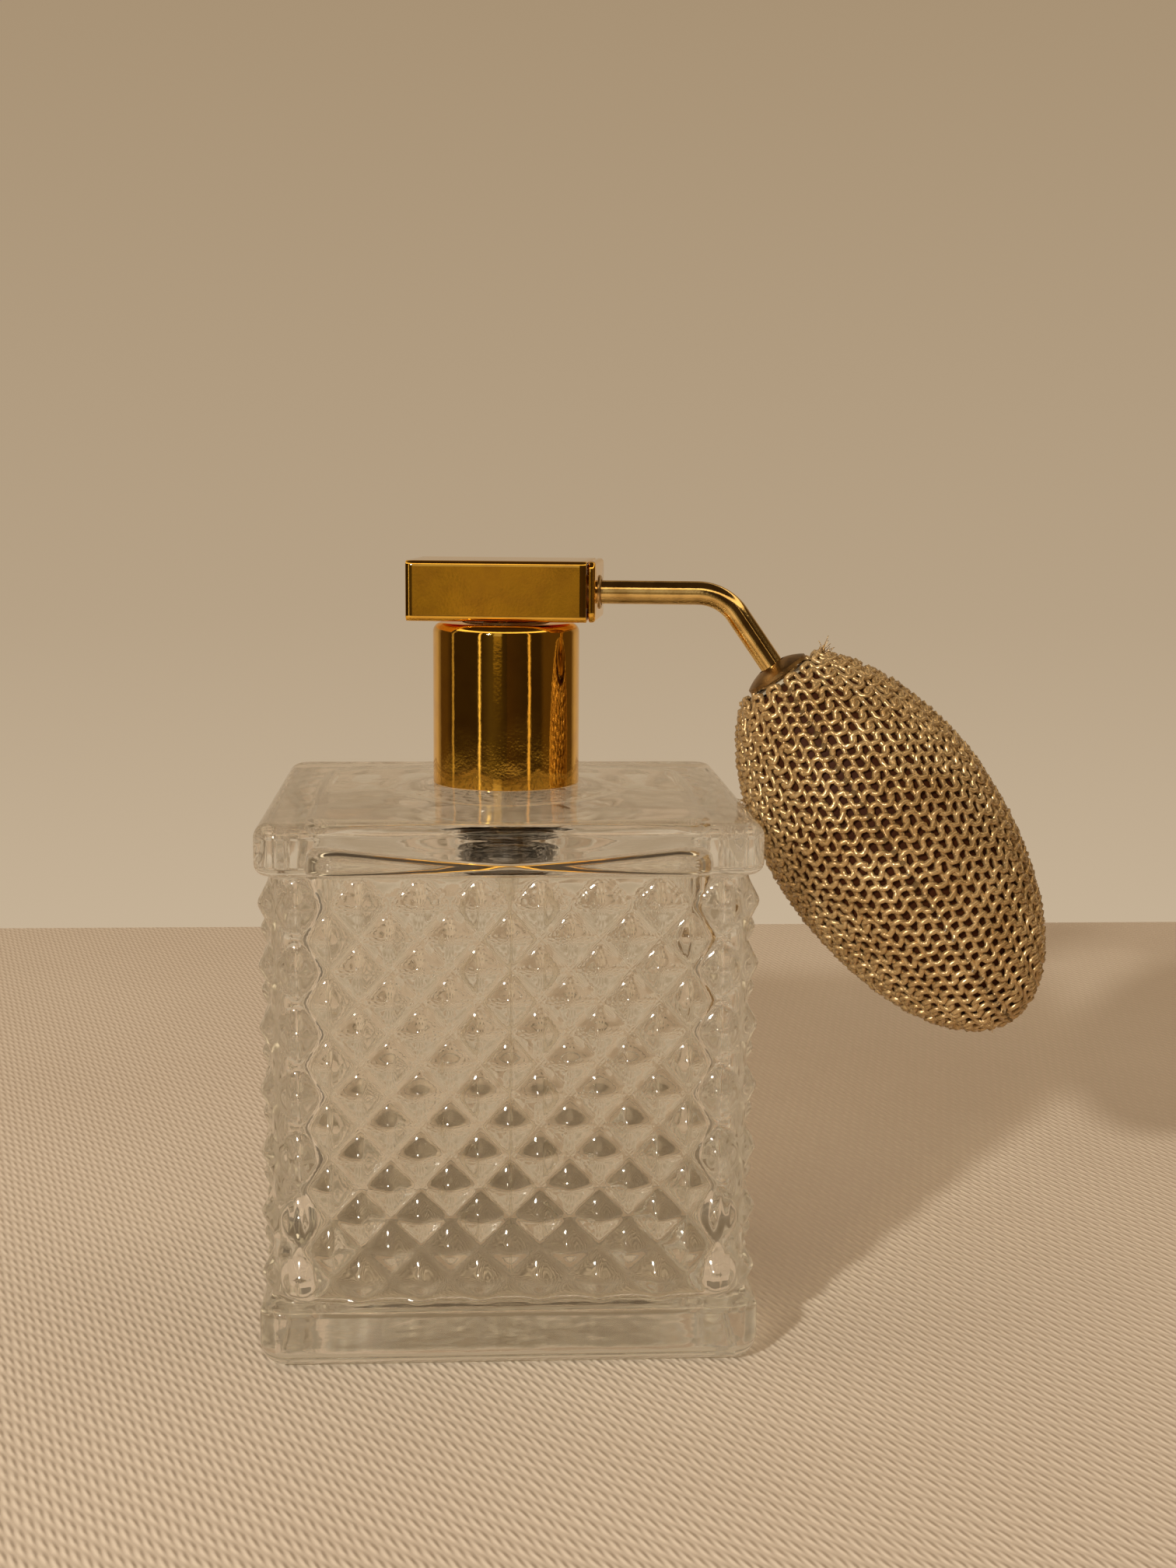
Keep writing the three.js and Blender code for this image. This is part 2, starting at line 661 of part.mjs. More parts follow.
function bulbAssembly() {
  const bulb = new THREE.Group();
  const place = new THREE.Vector3(Math.cos(DROP), 0, -Math.sin(DROP)).multiplyScalar(DROP_LENGTH);
  bulb.position.set(TUBE_CORNER + place.x, 0, TUBE_HEIGHT + place.z);
  bulb.rotation.y = Math.PI / 2 + DROP;
  bulb.add(
    part('ferrule_dome', ferruleDomeGeometry(), material.agedBrass()),
    part('valve_body', valveBodyGeometry(), material.innerBrass()),
    part('ball_retainer', ballRetainerGeometry(), material.innerBrass()),
    part('outlet_ball', outletBallGeometry(), material.steel()),
    part('rubber_bulb', rubberBulbGeometry(), material.rubber()),
    part('bulb_net', bulbNetGeometry(), material.net()),
    part('net_tie', netTieGeometry(), material.thread()),
    part('inlet_eyelet', inletEyeletGeometry(), material.innerBrass()),
    part('inlet_flap', inletFlapGeometry(), material.rubber()),
  );
  return bulb;
}

function headAssembly() {
  const head = new THREE.Group();
  head.rotation.z = THREE.MathUtils.degToRad(HEAD_TURN);
  head.add(
    part('head_shell', headShellGeometry(), material.gold()),
    part('spray_end_plate', sprayEndPlateGeometry(), material.gold()),
    part('air_end_plate', airEndPlateGeometry(), material.gold()),
    part('atomiser_block', atomiserBlockGeometry(), material.plastic()),
    part('spray_nozzle', sprayNozzleGeometry(), material.innerBrass()),
    part('air_jet', airJetGeometry(), material.innerBrass()),
    part('stem', stemGeometry(), material.innerBrass()),
    part('seat_flange', seatFlangeGeometry(), material.innerBrass()),
    part('dip_tube_ferrule', dipTubeFerruleGeometry(), material.innerBrass()),
    part('dip_tube', dipTubeGeometry(), material.plastic()),
    part('air_tube', airTubeGeometry(), material.gold()),
    part('tube_bush', tubeBushGeometry(), material.innerBrass()),
    bulbAssembly(),
  );
  return head;
}

const atomiser = new THREE.Group();
atomiser.add(
  part('glass_bottle', bottleGeometry(), material.glass()),
  part('mouth_gasket', gasketGeometry(), material.seal()),
  part('collar_shell', collarShellGeometry(), material.gold()),
  part('collar_liner', collarLinerGeometry(), material.darkPlastic()),
  part('thrust_washer', thrustWasherGeometry(), material.innerBrass()),
  headAssembly(),
);

export default atomiser;
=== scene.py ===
"""Looks of the bulb perfume atomiser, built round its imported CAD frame.

The pressed-glass bottle, the gold metalwork, the rubber bulb and its knitted net are mesh code.
Lengths are in millimetres until add_mesh() scales them. +Z is up and -Y is the front.
"""
import math

import bpy
import numpy as np
from mathutils import Matrix, Vector


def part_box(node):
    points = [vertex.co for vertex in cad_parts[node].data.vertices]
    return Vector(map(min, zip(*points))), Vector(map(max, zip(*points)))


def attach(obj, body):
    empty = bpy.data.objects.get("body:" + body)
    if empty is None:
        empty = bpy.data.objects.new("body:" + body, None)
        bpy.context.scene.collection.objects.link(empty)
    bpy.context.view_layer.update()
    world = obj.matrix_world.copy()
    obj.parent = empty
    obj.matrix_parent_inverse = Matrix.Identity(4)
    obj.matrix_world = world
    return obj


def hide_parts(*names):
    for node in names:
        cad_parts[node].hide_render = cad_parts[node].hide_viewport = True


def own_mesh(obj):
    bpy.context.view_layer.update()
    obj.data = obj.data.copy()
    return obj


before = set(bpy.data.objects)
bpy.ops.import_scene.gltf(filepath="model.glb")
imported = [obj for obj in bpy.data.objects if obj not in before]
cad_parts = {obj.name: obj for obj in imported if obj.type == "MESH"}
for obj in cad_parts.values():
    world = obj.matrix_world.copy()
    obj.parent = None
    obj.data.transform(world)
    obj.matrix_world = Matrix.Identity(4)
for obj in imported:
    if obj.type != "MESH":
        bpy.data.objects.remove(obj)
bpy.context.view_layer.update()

# --- dimensions, in millimetres ---

MM = 0.001

# bottle
BOTTLE_HALF = 32.0
BOTTLE_TOP = 70.3
BAND_CORNER = 3.4
BASE_EDGE = 3.2
BAND_TOP = 8.35
BAND_EDGE = 1.5
LEDGE_LOW = 63.7
LEDGE_LOW_EDGE = 1.5
LEDGE_EDGE = 1.9
CORE_HALF = 30.1
CORE_CORNER = 2.7
CROWN = 1.3
CAVITY_HALF_LOW = 28.0
CAVITY_HALF_HIGH = 26.0
CAVITY_CORNER = 4.0
CAVITY_EDGE = 4.0
CAVITY_FLOOR = 5.5
WALL_TAPER_TOP = 32.0
WALL_TAPER = 20.0
CEILING = 64.75
CEILING_RISE = 2.5
CEILING_POWER = 1.3
CEILING_EDGE = 1.8
CAVITY_RELIEF = 0.16
RELIEF_LOW = 9.0
RELIEF_HIGH = 62.0
BORE_FLARE = 8.5

# pressed diamonds
DIAMOND_WIDTH = 7.6
DIAMOND_HEIGHT = 8.05
DIAMOND_ROWS = 7
TOP_ROW_Z = 59.7
WHOLE_REACH = 3.5 * DIAMOND_WIDTH
PATTERN_GAP = 0.2
PATTERN_OVERRUN = 1.9
PATTERN_FADE = 1.6
POINT_RELIEF = 1.7
POINT_SWELL = 0.6
RIDGE_SOFTNESS = 0.14
FACETS = 16

# neck
NECK_RADIUS = 7.7
NECK_BORE = 6.5
NECK_TOP = 85.3
NECK_FILLET = 0.6
NECK_LIP = 0.5
THREAD_TURNS = 1.5
THREAD_PITCH = 4.0
THREAD_RADIUS = 0.9
THREAD_CENTRE = 7.3
THREAD_START = 75.0
THREAD_MARGIN = 1.2

# collar
COLLAR_RADIUS = 10.0
COLLAR_WALL = 0.45
COLLAR_LOW = 71.48
COLLAR_TOP = 93.4
COLLAR_FILLET = 1.3
COLLAR_HOLE = 6.0

# spray head
HEAD_TURN = math.radians(-8)
HEAD_LEFT = -12.6
HEAD_RIGHT = 12.75
HEAD_DEPTH = 15.6
HEAD_LOW = 93.85
HEAD_TOP = 101.95
HEAD_WALL = 0.5
HEAD_EDGE = 0.7
PLATE = 0.85
CAP_CORNER = 1.3
CAP_EDGE = 0.45
SPRAY_INSET = 0.35
SPRAY_CORNER = 0.3
SPRAY_EDGE = 0.1
GAP = 0.3
NOZZLE_HOLE = 0.35
NOZZLE_RADIUS = 2.3

# air tube and dip tube
TUBE_RADIUS = 1.6
TUBE_BORE = 1.1
TUBE_HEIGHT = 97.6
TUBE_START = 5.0
TUBE_CORNER = 29.5
TUBE_DROP = math.radians(55.2)
BEND_RADIUS = 6.6
DROP_LENGTH = 13.1
TUBE_TAIL = 1.7
DIP_RADIUS = 1.5
DIP_BORE = 0.9

# bulb, along its axis from the mouth plane
BULB_LENGTH = 57.6
BULB_RADIUS = 16.2
BULB_WIDEST = 25.5
NECK_REACH = 27.5
NECK_POWER = 1.75
RUBBER_DEPTH = 1.0
RUBBER_WALL = 1.1
RUBBER_MOUTH = 3.3
RUBBER_START = 1.6
RUBBER_TIP = 1.5
DOME_RADIUS = 4.5
DOME_HEIGHT = 1.4
DOME_RIM = -0.2
DOME_WALL = 0.4
DOME_HOLE = 1.95

# knitted net
STITCH_WIDTH = 3.1
COURSE_PITCH = 1.82
YARN_RADIUS = 0.42
YARN_SIDES = 5
YARN_STEPS = 14
LOOP_LEAN = 0.13
LOOP_REACH = 0.78
LOOP_LIFT = 0.24
NET_TIP = 0.9
SLOPE_STEP = 0.3
FEWEST_WALES = 9
SHIFT_SPREAD, SLACK_SPREAD, RISE_SPREAD = 0.03, 0.07, 0.05

# loose yarn ends: place along the bulb's axis, direction round it in degrees and number of fibres
LOOSE_ENDS = ((1.2, -95, 50), (12.0, 78, 14), (54.5, 20, 8))
FIBRE_LENGTH = 0.6
FIBRE_RADIUS = 0.05
FIBRE_BORE = 0.02


# --- mesh helpers ---

def hand_over(piece, body, node):
    """Lets a piece ride on its body and stand for a CAD node, whose part it hides."""
    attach(piece, body)
    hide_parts(node)


def add_mesh(name, points, faces, material, sharp_over=None, uv=None):
    """A smooth-shaded mesh object from points in millimetres, with creases over an angle in degrees."""
    mesh = bpy.data.meshes.new(name)
    mesh.from_pydata((np.asarray(points, float) * MM).tolist(), [], faces)
    mesh.polygons.foreach_set("use_smooth", [True] * len(mesh.polygons))
    if sharp_over is not None:
        mesh.set_sharp_from_angle(angle=math.radians(sharp_over))
    if uv is not None:
        corners = np.empty(len(mesh.loops), np.int32)
        mesh.loops.foreach_get("vertex_index", corners)
        layer = mesh.uv_layers.new(name="UVMap")
        layer.data.foreach_set("uv", np.asarray(uv, np.float32)[corners].ravel())
    mesh.materials.append(material)
    obj = bpy.data.objects.new(name, mesh)
    bpy.context.scene.collection.objects.link(obj)
    return obj


def join_rings(rings, closed=False):
    """Points and faces of a skin over rings of points.

    A ring may be one point, or have a multiple of its neighbour's points.
    """
    starts, points, total = [], [], 0
    for ring in rings:
        starts.append(total)
        points.append(np.atleast_2d(ring))
        total += len(points[-1])
    faces = []
    pairs = list(zip(range(len(rings) - 1), range(1, len(rings))))
    if closed:
        pairs.append((len(rings) - 1, 0))
    for low, high in pairs:
        faces += bridge(starts[low], len(points[low]), starts[high], len(points[high]))
    return np.vstack(points), faces


def bridge(first, first_count, second, second_count):
    """Faces between two closed rings, from the first one up to the second one."""
    if first_count == second_count:
        steps = np.arange(first_count)
        after = (steps + 1) % first_count
        return np.stack([first + steps, first + after, second + after, second + steps], 1).tolist()
    faces = []
    if first_count > second_count:
        share = first_count // second_count
        for i in range(second_count):
            tip = second + i
            fan = [first + (i * share + k) % first_count for k in range(share + 1)]
            faces += [[fan[k], fan[k + 1], tip] for k in range(share)]
            if second_count > 1:
                faces.append([fan[-1], second + (i + 1) % second_count, tip])
        return faces
    return [face[::-1] for face in bridge(second, second_count, first, first_count)]


def arc(radius_centre, height_centre, radius, start, end, steps):
    """Profile points (radius, height) along an arc; angles are in degrees up from outward."""
    angles = np.radians(np.linspace(start, end, steps + 1))
    return [(radius_centre + radius * math.cos(a), height_centre + radius * math.sin(a)) for a in angles]


def revolve(profile, segments, place=lambda points: points):
    """Points and faces of a closed (radius, height) profile turned about an axis that place() sets."""
    around = np.linspace(0, 2 * math.pi, segments, endpoint=False)
    rings = []
    for radius, height in profile:
        level = np.full(segments, height)
        rings.append(place(np.stack([radius * np.cos(around), radius * np.sin(around), level], 1)))
    return join_rings(rings, closed=True)


def sweep(path, profile_radii, sides):
    """Points and faces of a tube wall along a path; the radii are its outer and inner ones."""
    path = np.asarray(path, float)
    tangents = np.gradient(path, axis=0)
    tangents /= np.linalg.norm(tangents, axis=1)[:, None]
    side = np.array([0.0, 1.0, 0.0])
    around = np.linspace(0, 2 * math.pi, sides, endpoint=False)
    outer, inner = profile_radii
    rings = []
    for radius, order in ((outer, range(len(path))), (inner, range(len(path) - 1, -1, -1))):
        for i in order:
            across = side - tangents[i] * (side @ tangents[i])
            across /= np.linalg.norm(across)
            up = np.cross(tangents[i], across)
            circle = np.outer(np.cos(around), across) + np.outer(np.sin(around), up)
            rings.append(path[i] + radius * circle)
    return join_rings(rings, closed=True)


def rounded_rectangle(width, height, radius, steps=6, guard=0.12):
    """Points (across, up) of a rounded rectangle, anticlockwise from its lower right corner.

    A guard point on the flat beside each end of a corner keeps the flat's shading flat.
    """
    points = []
    for turn, (sx, sy) in enumerate(((1, -1), (1, 1), (-1, 1), (-1, -1))):
        centre = np.array([sx * (width / 2 - radius), sy * (height / 2 - radius)])
        angles = np.radians(-90 + 90 * turn + 90 * np.arange(steps + 1) / steps)
        corner = centre + radius * np.column_stack([np.cos(angles), np.sin(angles)])
        ahead = np.column_stack([-np.sin(angles), np.cos(angles)])
        points += [corner[0] - guard * ahead[0], *corner, corner[-1] + guard * ahead[-1]]
    return np.array(points)


# --- places of the turned head and the tilted bulb ---

def in_head(points):
    """Points of the head's own frame, turned about Z into the row frame."""
    c, s = math.cos(HEAD_TURN), math.sin(HEAD_TURN)
    points = np.atleast_2d(points)
    return points @ np.array([[c, s, 0], [-s, c, 0], [0, 0, 1]])


def along_x(points):
    """Turns a revolved shape's axis from Z to the head's X, at the air tube's height."""
    points = np.atleast_2d(points)
    return in_head(np.stack([points[:, 2], points[:, 1], TUBE_HEIGHT - points[:, 0]], 1))


DROP_DIRECTION = np.array([math.cos(TUBE_DROP), 0, -math.sin(TUBE_DROP)])
BULB_AXIS = in_head(DROP_DIRECTION)[0]
BULB_MOUTH = in_head(np.array([TUBE_CORNER, 0, TUBE_HEIGHT]) + DROP_LENGTH * DROP_DIRECTION)[0]
BULB_SIDE = np.cross(BULB_AXIS, [0, 0, 1.0])
BULB_SIDE /= np.linalg.norm(BULB_SIDE)
BULB_UP = np.cross(BULB_SIDE, BULB_AXIS)


def on_bulb(points):
    """Points of the bulb's own frame, whose Z runs along its axis from the mouth, in the row frame."""
    points = np.atleast_2d(points)
    return BULB_MOUTH + points @ np.array([BULB_SIDE, -BULB_UP, BULB_AXIS])


# --- materials ---

def add_node(tree, kind, **values):
    """A shader node with some inputs set; an underscore stands for a space in an input's name."""
    node = tree.nodes.new("ShaderNode" + kind)
    for name, value in values.items():
        node.inputs[name.replace("_", " ")].default_value = value
    return node


def new_material(name):
    """A material with one principled shader and its output."""
    material = bpy.data.materials.new(name)
    material.use_nodes = True
    tree = material.node_tree
    tree.nodes.clear()
    output = add_node(tree, "OutputMaterial")
    shader = add_node(tree, "BsdfPrincipled")
    tree.links.new(shader.outputs["BSDF"], output.inputs["Surface"])
    return material, tree, shader


def connect(tree, shader, colour=None, roughness=None, normal=None):
    """Links a material's colour, roughness and normal, where they are given."""
    for value, socket in ((colour, "Base Color"), (roughness, "Roughness"), (normal, "Normal")):
        if value is not None:
            tree.links.new(value, shader.inputs[socket])


def noise(tree, scale, detail=4.0, stretch=(1, 1, 1), coordinates="Object"):
    """A noise value over the piece, stretched along the axes whose number is small."""
    place = add_node(tree, "TexCoord")
    mapping = add_node(tree, "Mapping", Scale=stretch)
    texture = add_node(tree, "TexNoise", Scale=scale, Detail=detail)
    tree.links.new(place.outputs[coordinates], mapping.inputs["Vector"])
    tree.links.new(mapping.outputs["Vector"], texture.inputs["Vector"])
    return texture.outputs["Fac"]


def spread(tree, value, low, high, from_low=0.3, from_high=0.7):
    """A value mapped from a noise's usual range to a range from low to high."""
    node = add_node(tree, "MapRange", From_Min=from_low, From_Max=from_high, To_Min=low, To_Max=high)
    tree.links.new(value, node.inputs["Value"])
    return node.outputs["Result"]


def mixed(tree, value, first, second, blend="MIX"):
    """A colour between two others, each one three numbers or a node's output."""
    node = add_node(tree, "Mix")
    node.data_type = "RGBA"
    node.blend_type = blend
    tree.links.new(value, node.inputs["Factor"])
    for name, colour in (("A", first), ("B", second)):
        if isinstance(colour, tuple):
            node.inputs[name].default_value = (*colour, 1)
        else:
            tree.links.new(colour, node.inputs[name])
    return node.outputs["Result"]


def ramp(tree, value, stops):
    """A colour ramp over a value, from (place, colour) stops."""
    node = add_node(tree, "ValToRGB")
    elements = node.color_ramp.elements
    while len(elements) < len(stops):
        elements.new(0.5)
    for element, (place, colour) in zip(elements, stops):
        element.position = place
        element.color = (*colour, 1)
    tree.links.new(value, node.inputs["Fac"])
    return node.outputs["Color"]


def calculated(tree, first, second, operation="MULTIPLY"):
    """The product, or another operation's result, of two values."""
    node = add_node(tree, "Math")
    node.operation = operation
    tree.links.new(first, node.inputs[0])
    tree.links.new(second, node.inputs[1])
    return node.outputs["Value"]


def bump(tree, value, distance, strength=1.0, under=None):
    """A bump normal from a height value, in millimetres."""
    node = add_node(tree, "Bump", Strength=strength, Distance=distance * MM)
    tree.links.new(value, node.inputs["Height"])
    if under is not None:
        tree.links.new(under, node.inputs["Normal"])
    return node.outputs["Normal"]


def metal_material(name, colour, worn, smooth, rough, dent=0.02, grain=0.004, grain_stretch=(1, 1, 1)):
    """Plated metal: smudged roughness, slightly uneven surface and fine grain."""
    material, tree, shader = new_material(name)
    shader.inputs["Metallic"].default_value = 1.0
    wear = spread(tree, noise(tree, 420, 8), 0, 1, 0.45, 0.75)
    smudge = spread(tree, noise(tree, 180, 6), smooth, rough)
    waves = bump(tree, noise(tree, 140, 2), dent)
    fine = bump(tree, noise(tree, 2600, 3, grain_stretch), grain, under=waves)
    connect(tree, shader, mixed(tree, wear, colour, worn), smudge, fine)
    return material


def glass_material():
    """Clear pressed glass with a faint warm tint; shadow rays pass it, so the floor behind it is lit."""
    material, tree, shader = new_material("pressed_glass")
    shader.inputs["Base Color"].default_value = (0.985, 0.98, 0.955, 1)
    shader.inputs["Roughness"].default_value = 0.05
    shader.inputs["IOR"].default_value = 1.5
    shader.inputs["Transmission Weight"].default_value = 1.0
    waves = bump(tree, noise(tree, 110, 2), 0.12)
    connect(tree, shader, normal=bump(tree, noise(tree, 420, 3, (1, 1, 0.35)), 0.02, under=waves))
    clear = add_node(tree, "BsdfTransparent", Color=(0.40, 0.37, 0.32, 1))
    path = add_node(tree, "LightPath")
    mix = add_node(tree, "MixShader")
    output = next(n for n in tree.nodes if n.type == "OUTPUT_MATERIAL")
    tree.links.new(path.outputs["Is Shadow Ray"], mix.inputs["Fac"])
    tree.links.new(shader.outputs["BSDF"], mix.inputs[1])
    tree.links.new(clear.outputs["BSDF"], mix.inputs[2])
    tree.links.new(mix.outputs["Shader"], output.inputs["Surface"])
    return material


def plastic_material(name, first, second, specular=0.5):
    """Moulded plastic, slightly uneven in colour."""
    material, tree, shader = new_material(name)
    shader.inputs["Specular IOR Level"].default_value = specular
    shade = mixed(tree, spread(tree, noise(tree, 260, 4), 0, 1), first, second)
    sheen = spread(tree, noise(tree, 500, 4), 0.32, 0.46)
    connect(tree, shader, shade, sheen, bump(tree, noise(tree, 900, 3), 0.01))
    return material


def clear_tube_material():
    """Clear plastic tubing."""
    material, tree, shader = new_material("clear_tubing")
    shader.inputs["Base Color"].default_value = (0.96, 0.95, 0.92, 1)
    shader.inputs["IOR"].default_value = 1.45
    shader.inputs["Transmission Weight"].default_value = 1.0
    smear = spread(tree, noise(tree, 300, 4), 0.02, 0.09)
    connect(tree, shader, roughness=smear, normal=bump(tree, noise(tree, 500, 2), 0.01))
    return material


def rubber_material(name, dark, dusty, rough):
    """Matt moulded rubber with a dusty bloom."""
    material, tree, shader = new_material(name)
    shader.inputs["Specular IOR Level"].default_value = 0.08
    bloom = mixed(tree, spread(tree, noise(tree, 240, 6), 0, 1), dark, dusty)
    matt = spread(tree, noise(tree, 700, 4), rough - 0.08, rough + 0.1)
    connect(tree, shader, bloom, matt, bump(tree, noise(tree, 1500, 4), 0.02))
    return material


def yarn_material():
    """Gold metallic yarn: a flat foil twisted round a core, so it glints in a spiral."""
    material, tree, shader = new_material("metallic_yarn")
    place = add_node(tree, "UVMap")
    place.uv_map = "UVMap"
    twist = add_node(tree, "TexWave", Scale=1.0, Distortion=0.6)
    twist.wave_type = "BANDS"
    twist.bands_direction = "DIAGONAL"
    tree.links.new(place.outputs["UV"], twist.inputs["Vector"])
    gold = mixed(tree, spread(tree, noise(tree, 160, 5), 0, 1), (0.40, 0.24, 0.090), (0.60, 0.41, 0.195))
    glint = spread(tree, twist.outputs["Fac"], 0.26, 0.42, 0, 1)
    connect(tree, shader, gold, glint, bump(tree, twist.outputs["Fac"], 0.05))
    shader.inputs["Metallic"].default_value = 0.6
    shader.inputs["Coat Weight"].default_value = 0.35
    shader.inputs["Coat Roughness"].default_value = 0.2
    return material


def thread_material():
    """Pale cotton thread."""
    material, tree, shader = new_material("cotton_thread")
    shader.inputs["Sheen Weight"].default_value = 0.3
    fibre = noise(tree, 1800, 4, (1, 1, 4))
    cotton = mixed(tree, spread(tree, fibre, 0, 1), (0.52, 0.42, 0.27), (0.70, 0.60, 0.43))
    connect(tree, shader, cotton, spread(tree, fibre, 0.7, 0.9), bump(tree, fibre, 0.05))
    return material


GLASS = glass_material()
GOLD = metal_material("gold_plate", (0.92, 0.53, 0.08), (0.80, 0.44, 0.08), 0.025, 0.075, dent=0.035)
TUBE_GOLD = metal_material("gold_lacquer", (0.84, 0.58, 0.22), (0.52, 0.32, 0.1), 0.05, 0.14, grain=0.008)
AGED_BRASS = metal_material("aged_brass", (0.34, 0.20, 0.075), (0.15, 0.085, 0.035), 0.28, 0.46,
                            dent=0.05, grain=0.02)
INNER_BRASS = metal_material("turned_brass", (0.72, 0.52, 0.26), (0.50, 0.34, 0.16), 0.22, 0.36,
                             grain=0.01, grain_stretch=(0.1, 0.1, 1))
STEEL = metal_material("steel", (0.62, 0.62, 0.60), (0.50, 0.49, 0.47), 0.12, 0.24)
PLASTIC = plastic_material("moulded_plastic", (0.74, 0.70, 0.60), (0.80, 0.76, 0.68))
# The collar liner's dark brown is painted shade: it stands for the shade inside the collar.
LINER_PAINTED_SHADE = plastic_material("dark_plastic", (0.11, 0.048, 0.01), (0.14, 0.064, 0.014), 0.05)
CLEAR_TUBE = clear_tube_material()
RUBBER = rubber_material("bulb_rubber", (0.034, 0.009, 0.002), (0.050, 0.014, 0.004), 0.6)
SEAL = rubber_material("seal_rubber", (0.040, 0.020, 0.006), (0.06, 0.032, 0.010), 0.6)
YARN = yarn_material()
THREAD = thread_material()


# --- bottle ---

SIDE_STEP = DIAMOND_WIDTH / FACETS
SIDE_STEPS = 58
CORNER_STEPS = 12
PER_SIDE = 2 * SIDE_STEPS + CORNER_STEPS
FULL_RING = 4 * PER_SIDE


def side_ring(half, corner, z):
    """A ring round a square with rounded corners; each side carries the pattern's columns."""
    ring = []
    reach = half - corner
    for side in range(4):
        along = np.arange(-SIDE_STEPS, SIDE_STEPS + 1) * reach / SIDE_STEPS
        flat = np.stack([along, np.full(len(along), -half)], 1)
        angles = np.radians(-90 + 90 * np.arange(1, CORNER_STEPS) / CORNER_STEPS)
        bend = np.stack([reach + corner * np.cos(angles), -reach + corner * np.sin(angles)], 1)
        turn = math.pi / 2 * side
        c, s = math.cos(turn), math.sin(turn)
        ring.append(np.vstack([flat, bend]) @ np.array([[c, s], [-s, c]]))
    ring = np.vstack(ring)
    return np.column_stack([ring, np.full(len(ring), z)])


def circle_ring(radius, z, share=1):
    """A ring round a circle whose points line up with every share-th point of a side ring."""
    steps = np.arange(0, FULL_RING, share)
    angles = 2 * math.pi * (steps - SIDE_STEPS) / FULL_RING - math.pi / 2
    return np.column_stack([radius * np.cos(angles), radius * np.sin(angles), np.full(len(steps), z)])


def diamond_relief(z):
    """Height of the pressed pattern over its grooves round a whole ring, at one height."""
    reach = CORE_HALF - CORE_CORNER
    bend = CORE_CORNER * math.pi / 2 * np.arange(1, CORNER_STEPS) / CORNER_STEPS
    flat = np.arange(-SIDE_STEPS, SIDE_STEPS + 1) * SIDE_STEP
    before_middle = bend < CORE_CORNER * math.pi / 4
    bend_along = np.where(before_middle, reach + bend, -reach - CORE_CORNER * math.pi / 2 + bend)
    along = np.concatenate([flat, bend_along])
    column = np.abs(along / DIAMOND_WIDTH - 0.5 - np.round(along / DIAMOND_WIDTH - 0.5)) * 2
    row_place = (TOP_ROW_Z - z) / DIAMOND_HEIGHT
    row = abs(row_place - round(row_place)) * 2
    between_rows = column + row > 1
    across = np.where(between_rows, 1 - column, column)
    up = np.where(between_rows, 1 - row, row)
    drop = np.hypot(across, RIDGE_SOFTNESS) + np.hypot(up, RIDGE_SOFTNESS) - 2 * RIDGE_SOFTNESS
    height = np.maximum(1 - RIDGE_SOFTNESS - drop, 0) / (1 - RIDGE_SOFTNESS)
    height = height * (1 + POINT_SWELL * height) / (1 + POINT_SWELL)
    if row_place < 0 or row_place > DIAMOND_ROWS - 1:
        height[between_rows] = 0
    height[between_rows & (np.abs(along) > WHOLE_REACH)] = 0
    fade = np.clip((reach + PATTERN_OVERRUN - np.abs(along)) / PATTERN_FADE, 0, 1)
    return np.tile(height * fade * POINT_RELIEF, 4)


def pattern_rings():
    """Rings of the patterned wall, from the base band's top up to the ledge."""
    step = DIAMOND_HEIGHT / FACETS
    lowest = TOP_ROW_Z - (DIAMOND_ROWS - 1) * DIAMOND_HEIGHT
    first = math.ceil((BAND_TOP + PATTERN_GAP - lowest) / step)
    last = math.floor((LEDGE_LOW + 0.05 - lowest) / step)
    rings = []
    for i in range(first, last + 1):
        z = lowest + i * step
        flat = side_ring(CORE_HALF, CORE_CORNER, z)
        outward = side_ring(CORE_HALF + 1, CORE_CORNER + 1, z) - flat
        rings.append(flat + outward * diamond_relief(z)[:, None])
    return rings, first


def band_ring(inset, z):
    """A ring of the base band or the ledge, drawn in by inset at their rounded edges."""
    return side_ring(BOTTLE_HALF - inset, max(BAND_CORNER - inset, 0.6), z)


def edge_rings(radius, centre_z, start, end, steps):
    """Rings round a rounded edge of a band; angles are in degrees up from the outward direction."""
    angles = np.radians(np.linspace(start, end, steps + 1))
    return [band_ring(radius * (1 - math.cos(a)), centre_z + radius * math.sin(a)) for a in angles]


def ledge_rings():
    """The plain ledge under the shoulder: a soft lower edge, a short face and a rounded upper edge."""
    rings = edge_rings(LEDGE_LOW_EDGE, LEDGE_LOW + LEDGE_LOW_EDGE, -80, 0, 5)
    rings += edge_rings(LEDGE_EDGE, BOTTLE_TOP - LEDGE_EDGE, 0, 90, 8)
    return rings


def base_rings():
    """The underside's outline, the rounded foot and the base band."""
    rings = [band_ring(BASE_EDGE + 1.5, 0)]
    rings += edge_rings(BASE_EDGE, BASE_EDGE, -90, 0, 9)
    rings += edge_rings(BAND_EDGE, BAND_TOP - BAND_EDGE, 0, 80, 5)
    return rings


def thread_bulge(ring):
    """Height of the neck's thread over its wall at the points of a ring."""
    turn = (np.arctan2(ring[:, 1], ring[:, 0]) / (2 * math.pi)) % 1
    bulge = np.zeros(len(ring))
    for lap in range(math.ceil(THREAD_TURNS)):
        travelled = lap + turn
        centre = THREAD_START + THREAD_PITCH * travelled
        off = np.clip(np.abs(ring[:, 2] - centre) / THREAD_RADIUS, 0, 1)
        height = THREAD_RADIUS * np.sqrt(1 - off ** 2) + THREAD_CENTRE - NECK_RADIUS
        ends = np.clip(np.minimum(travelled, THREAD_TURNS - travelled) * 12, 0, 1)
        bulge = np.maximum(bulge, height * ends)
    return bulge


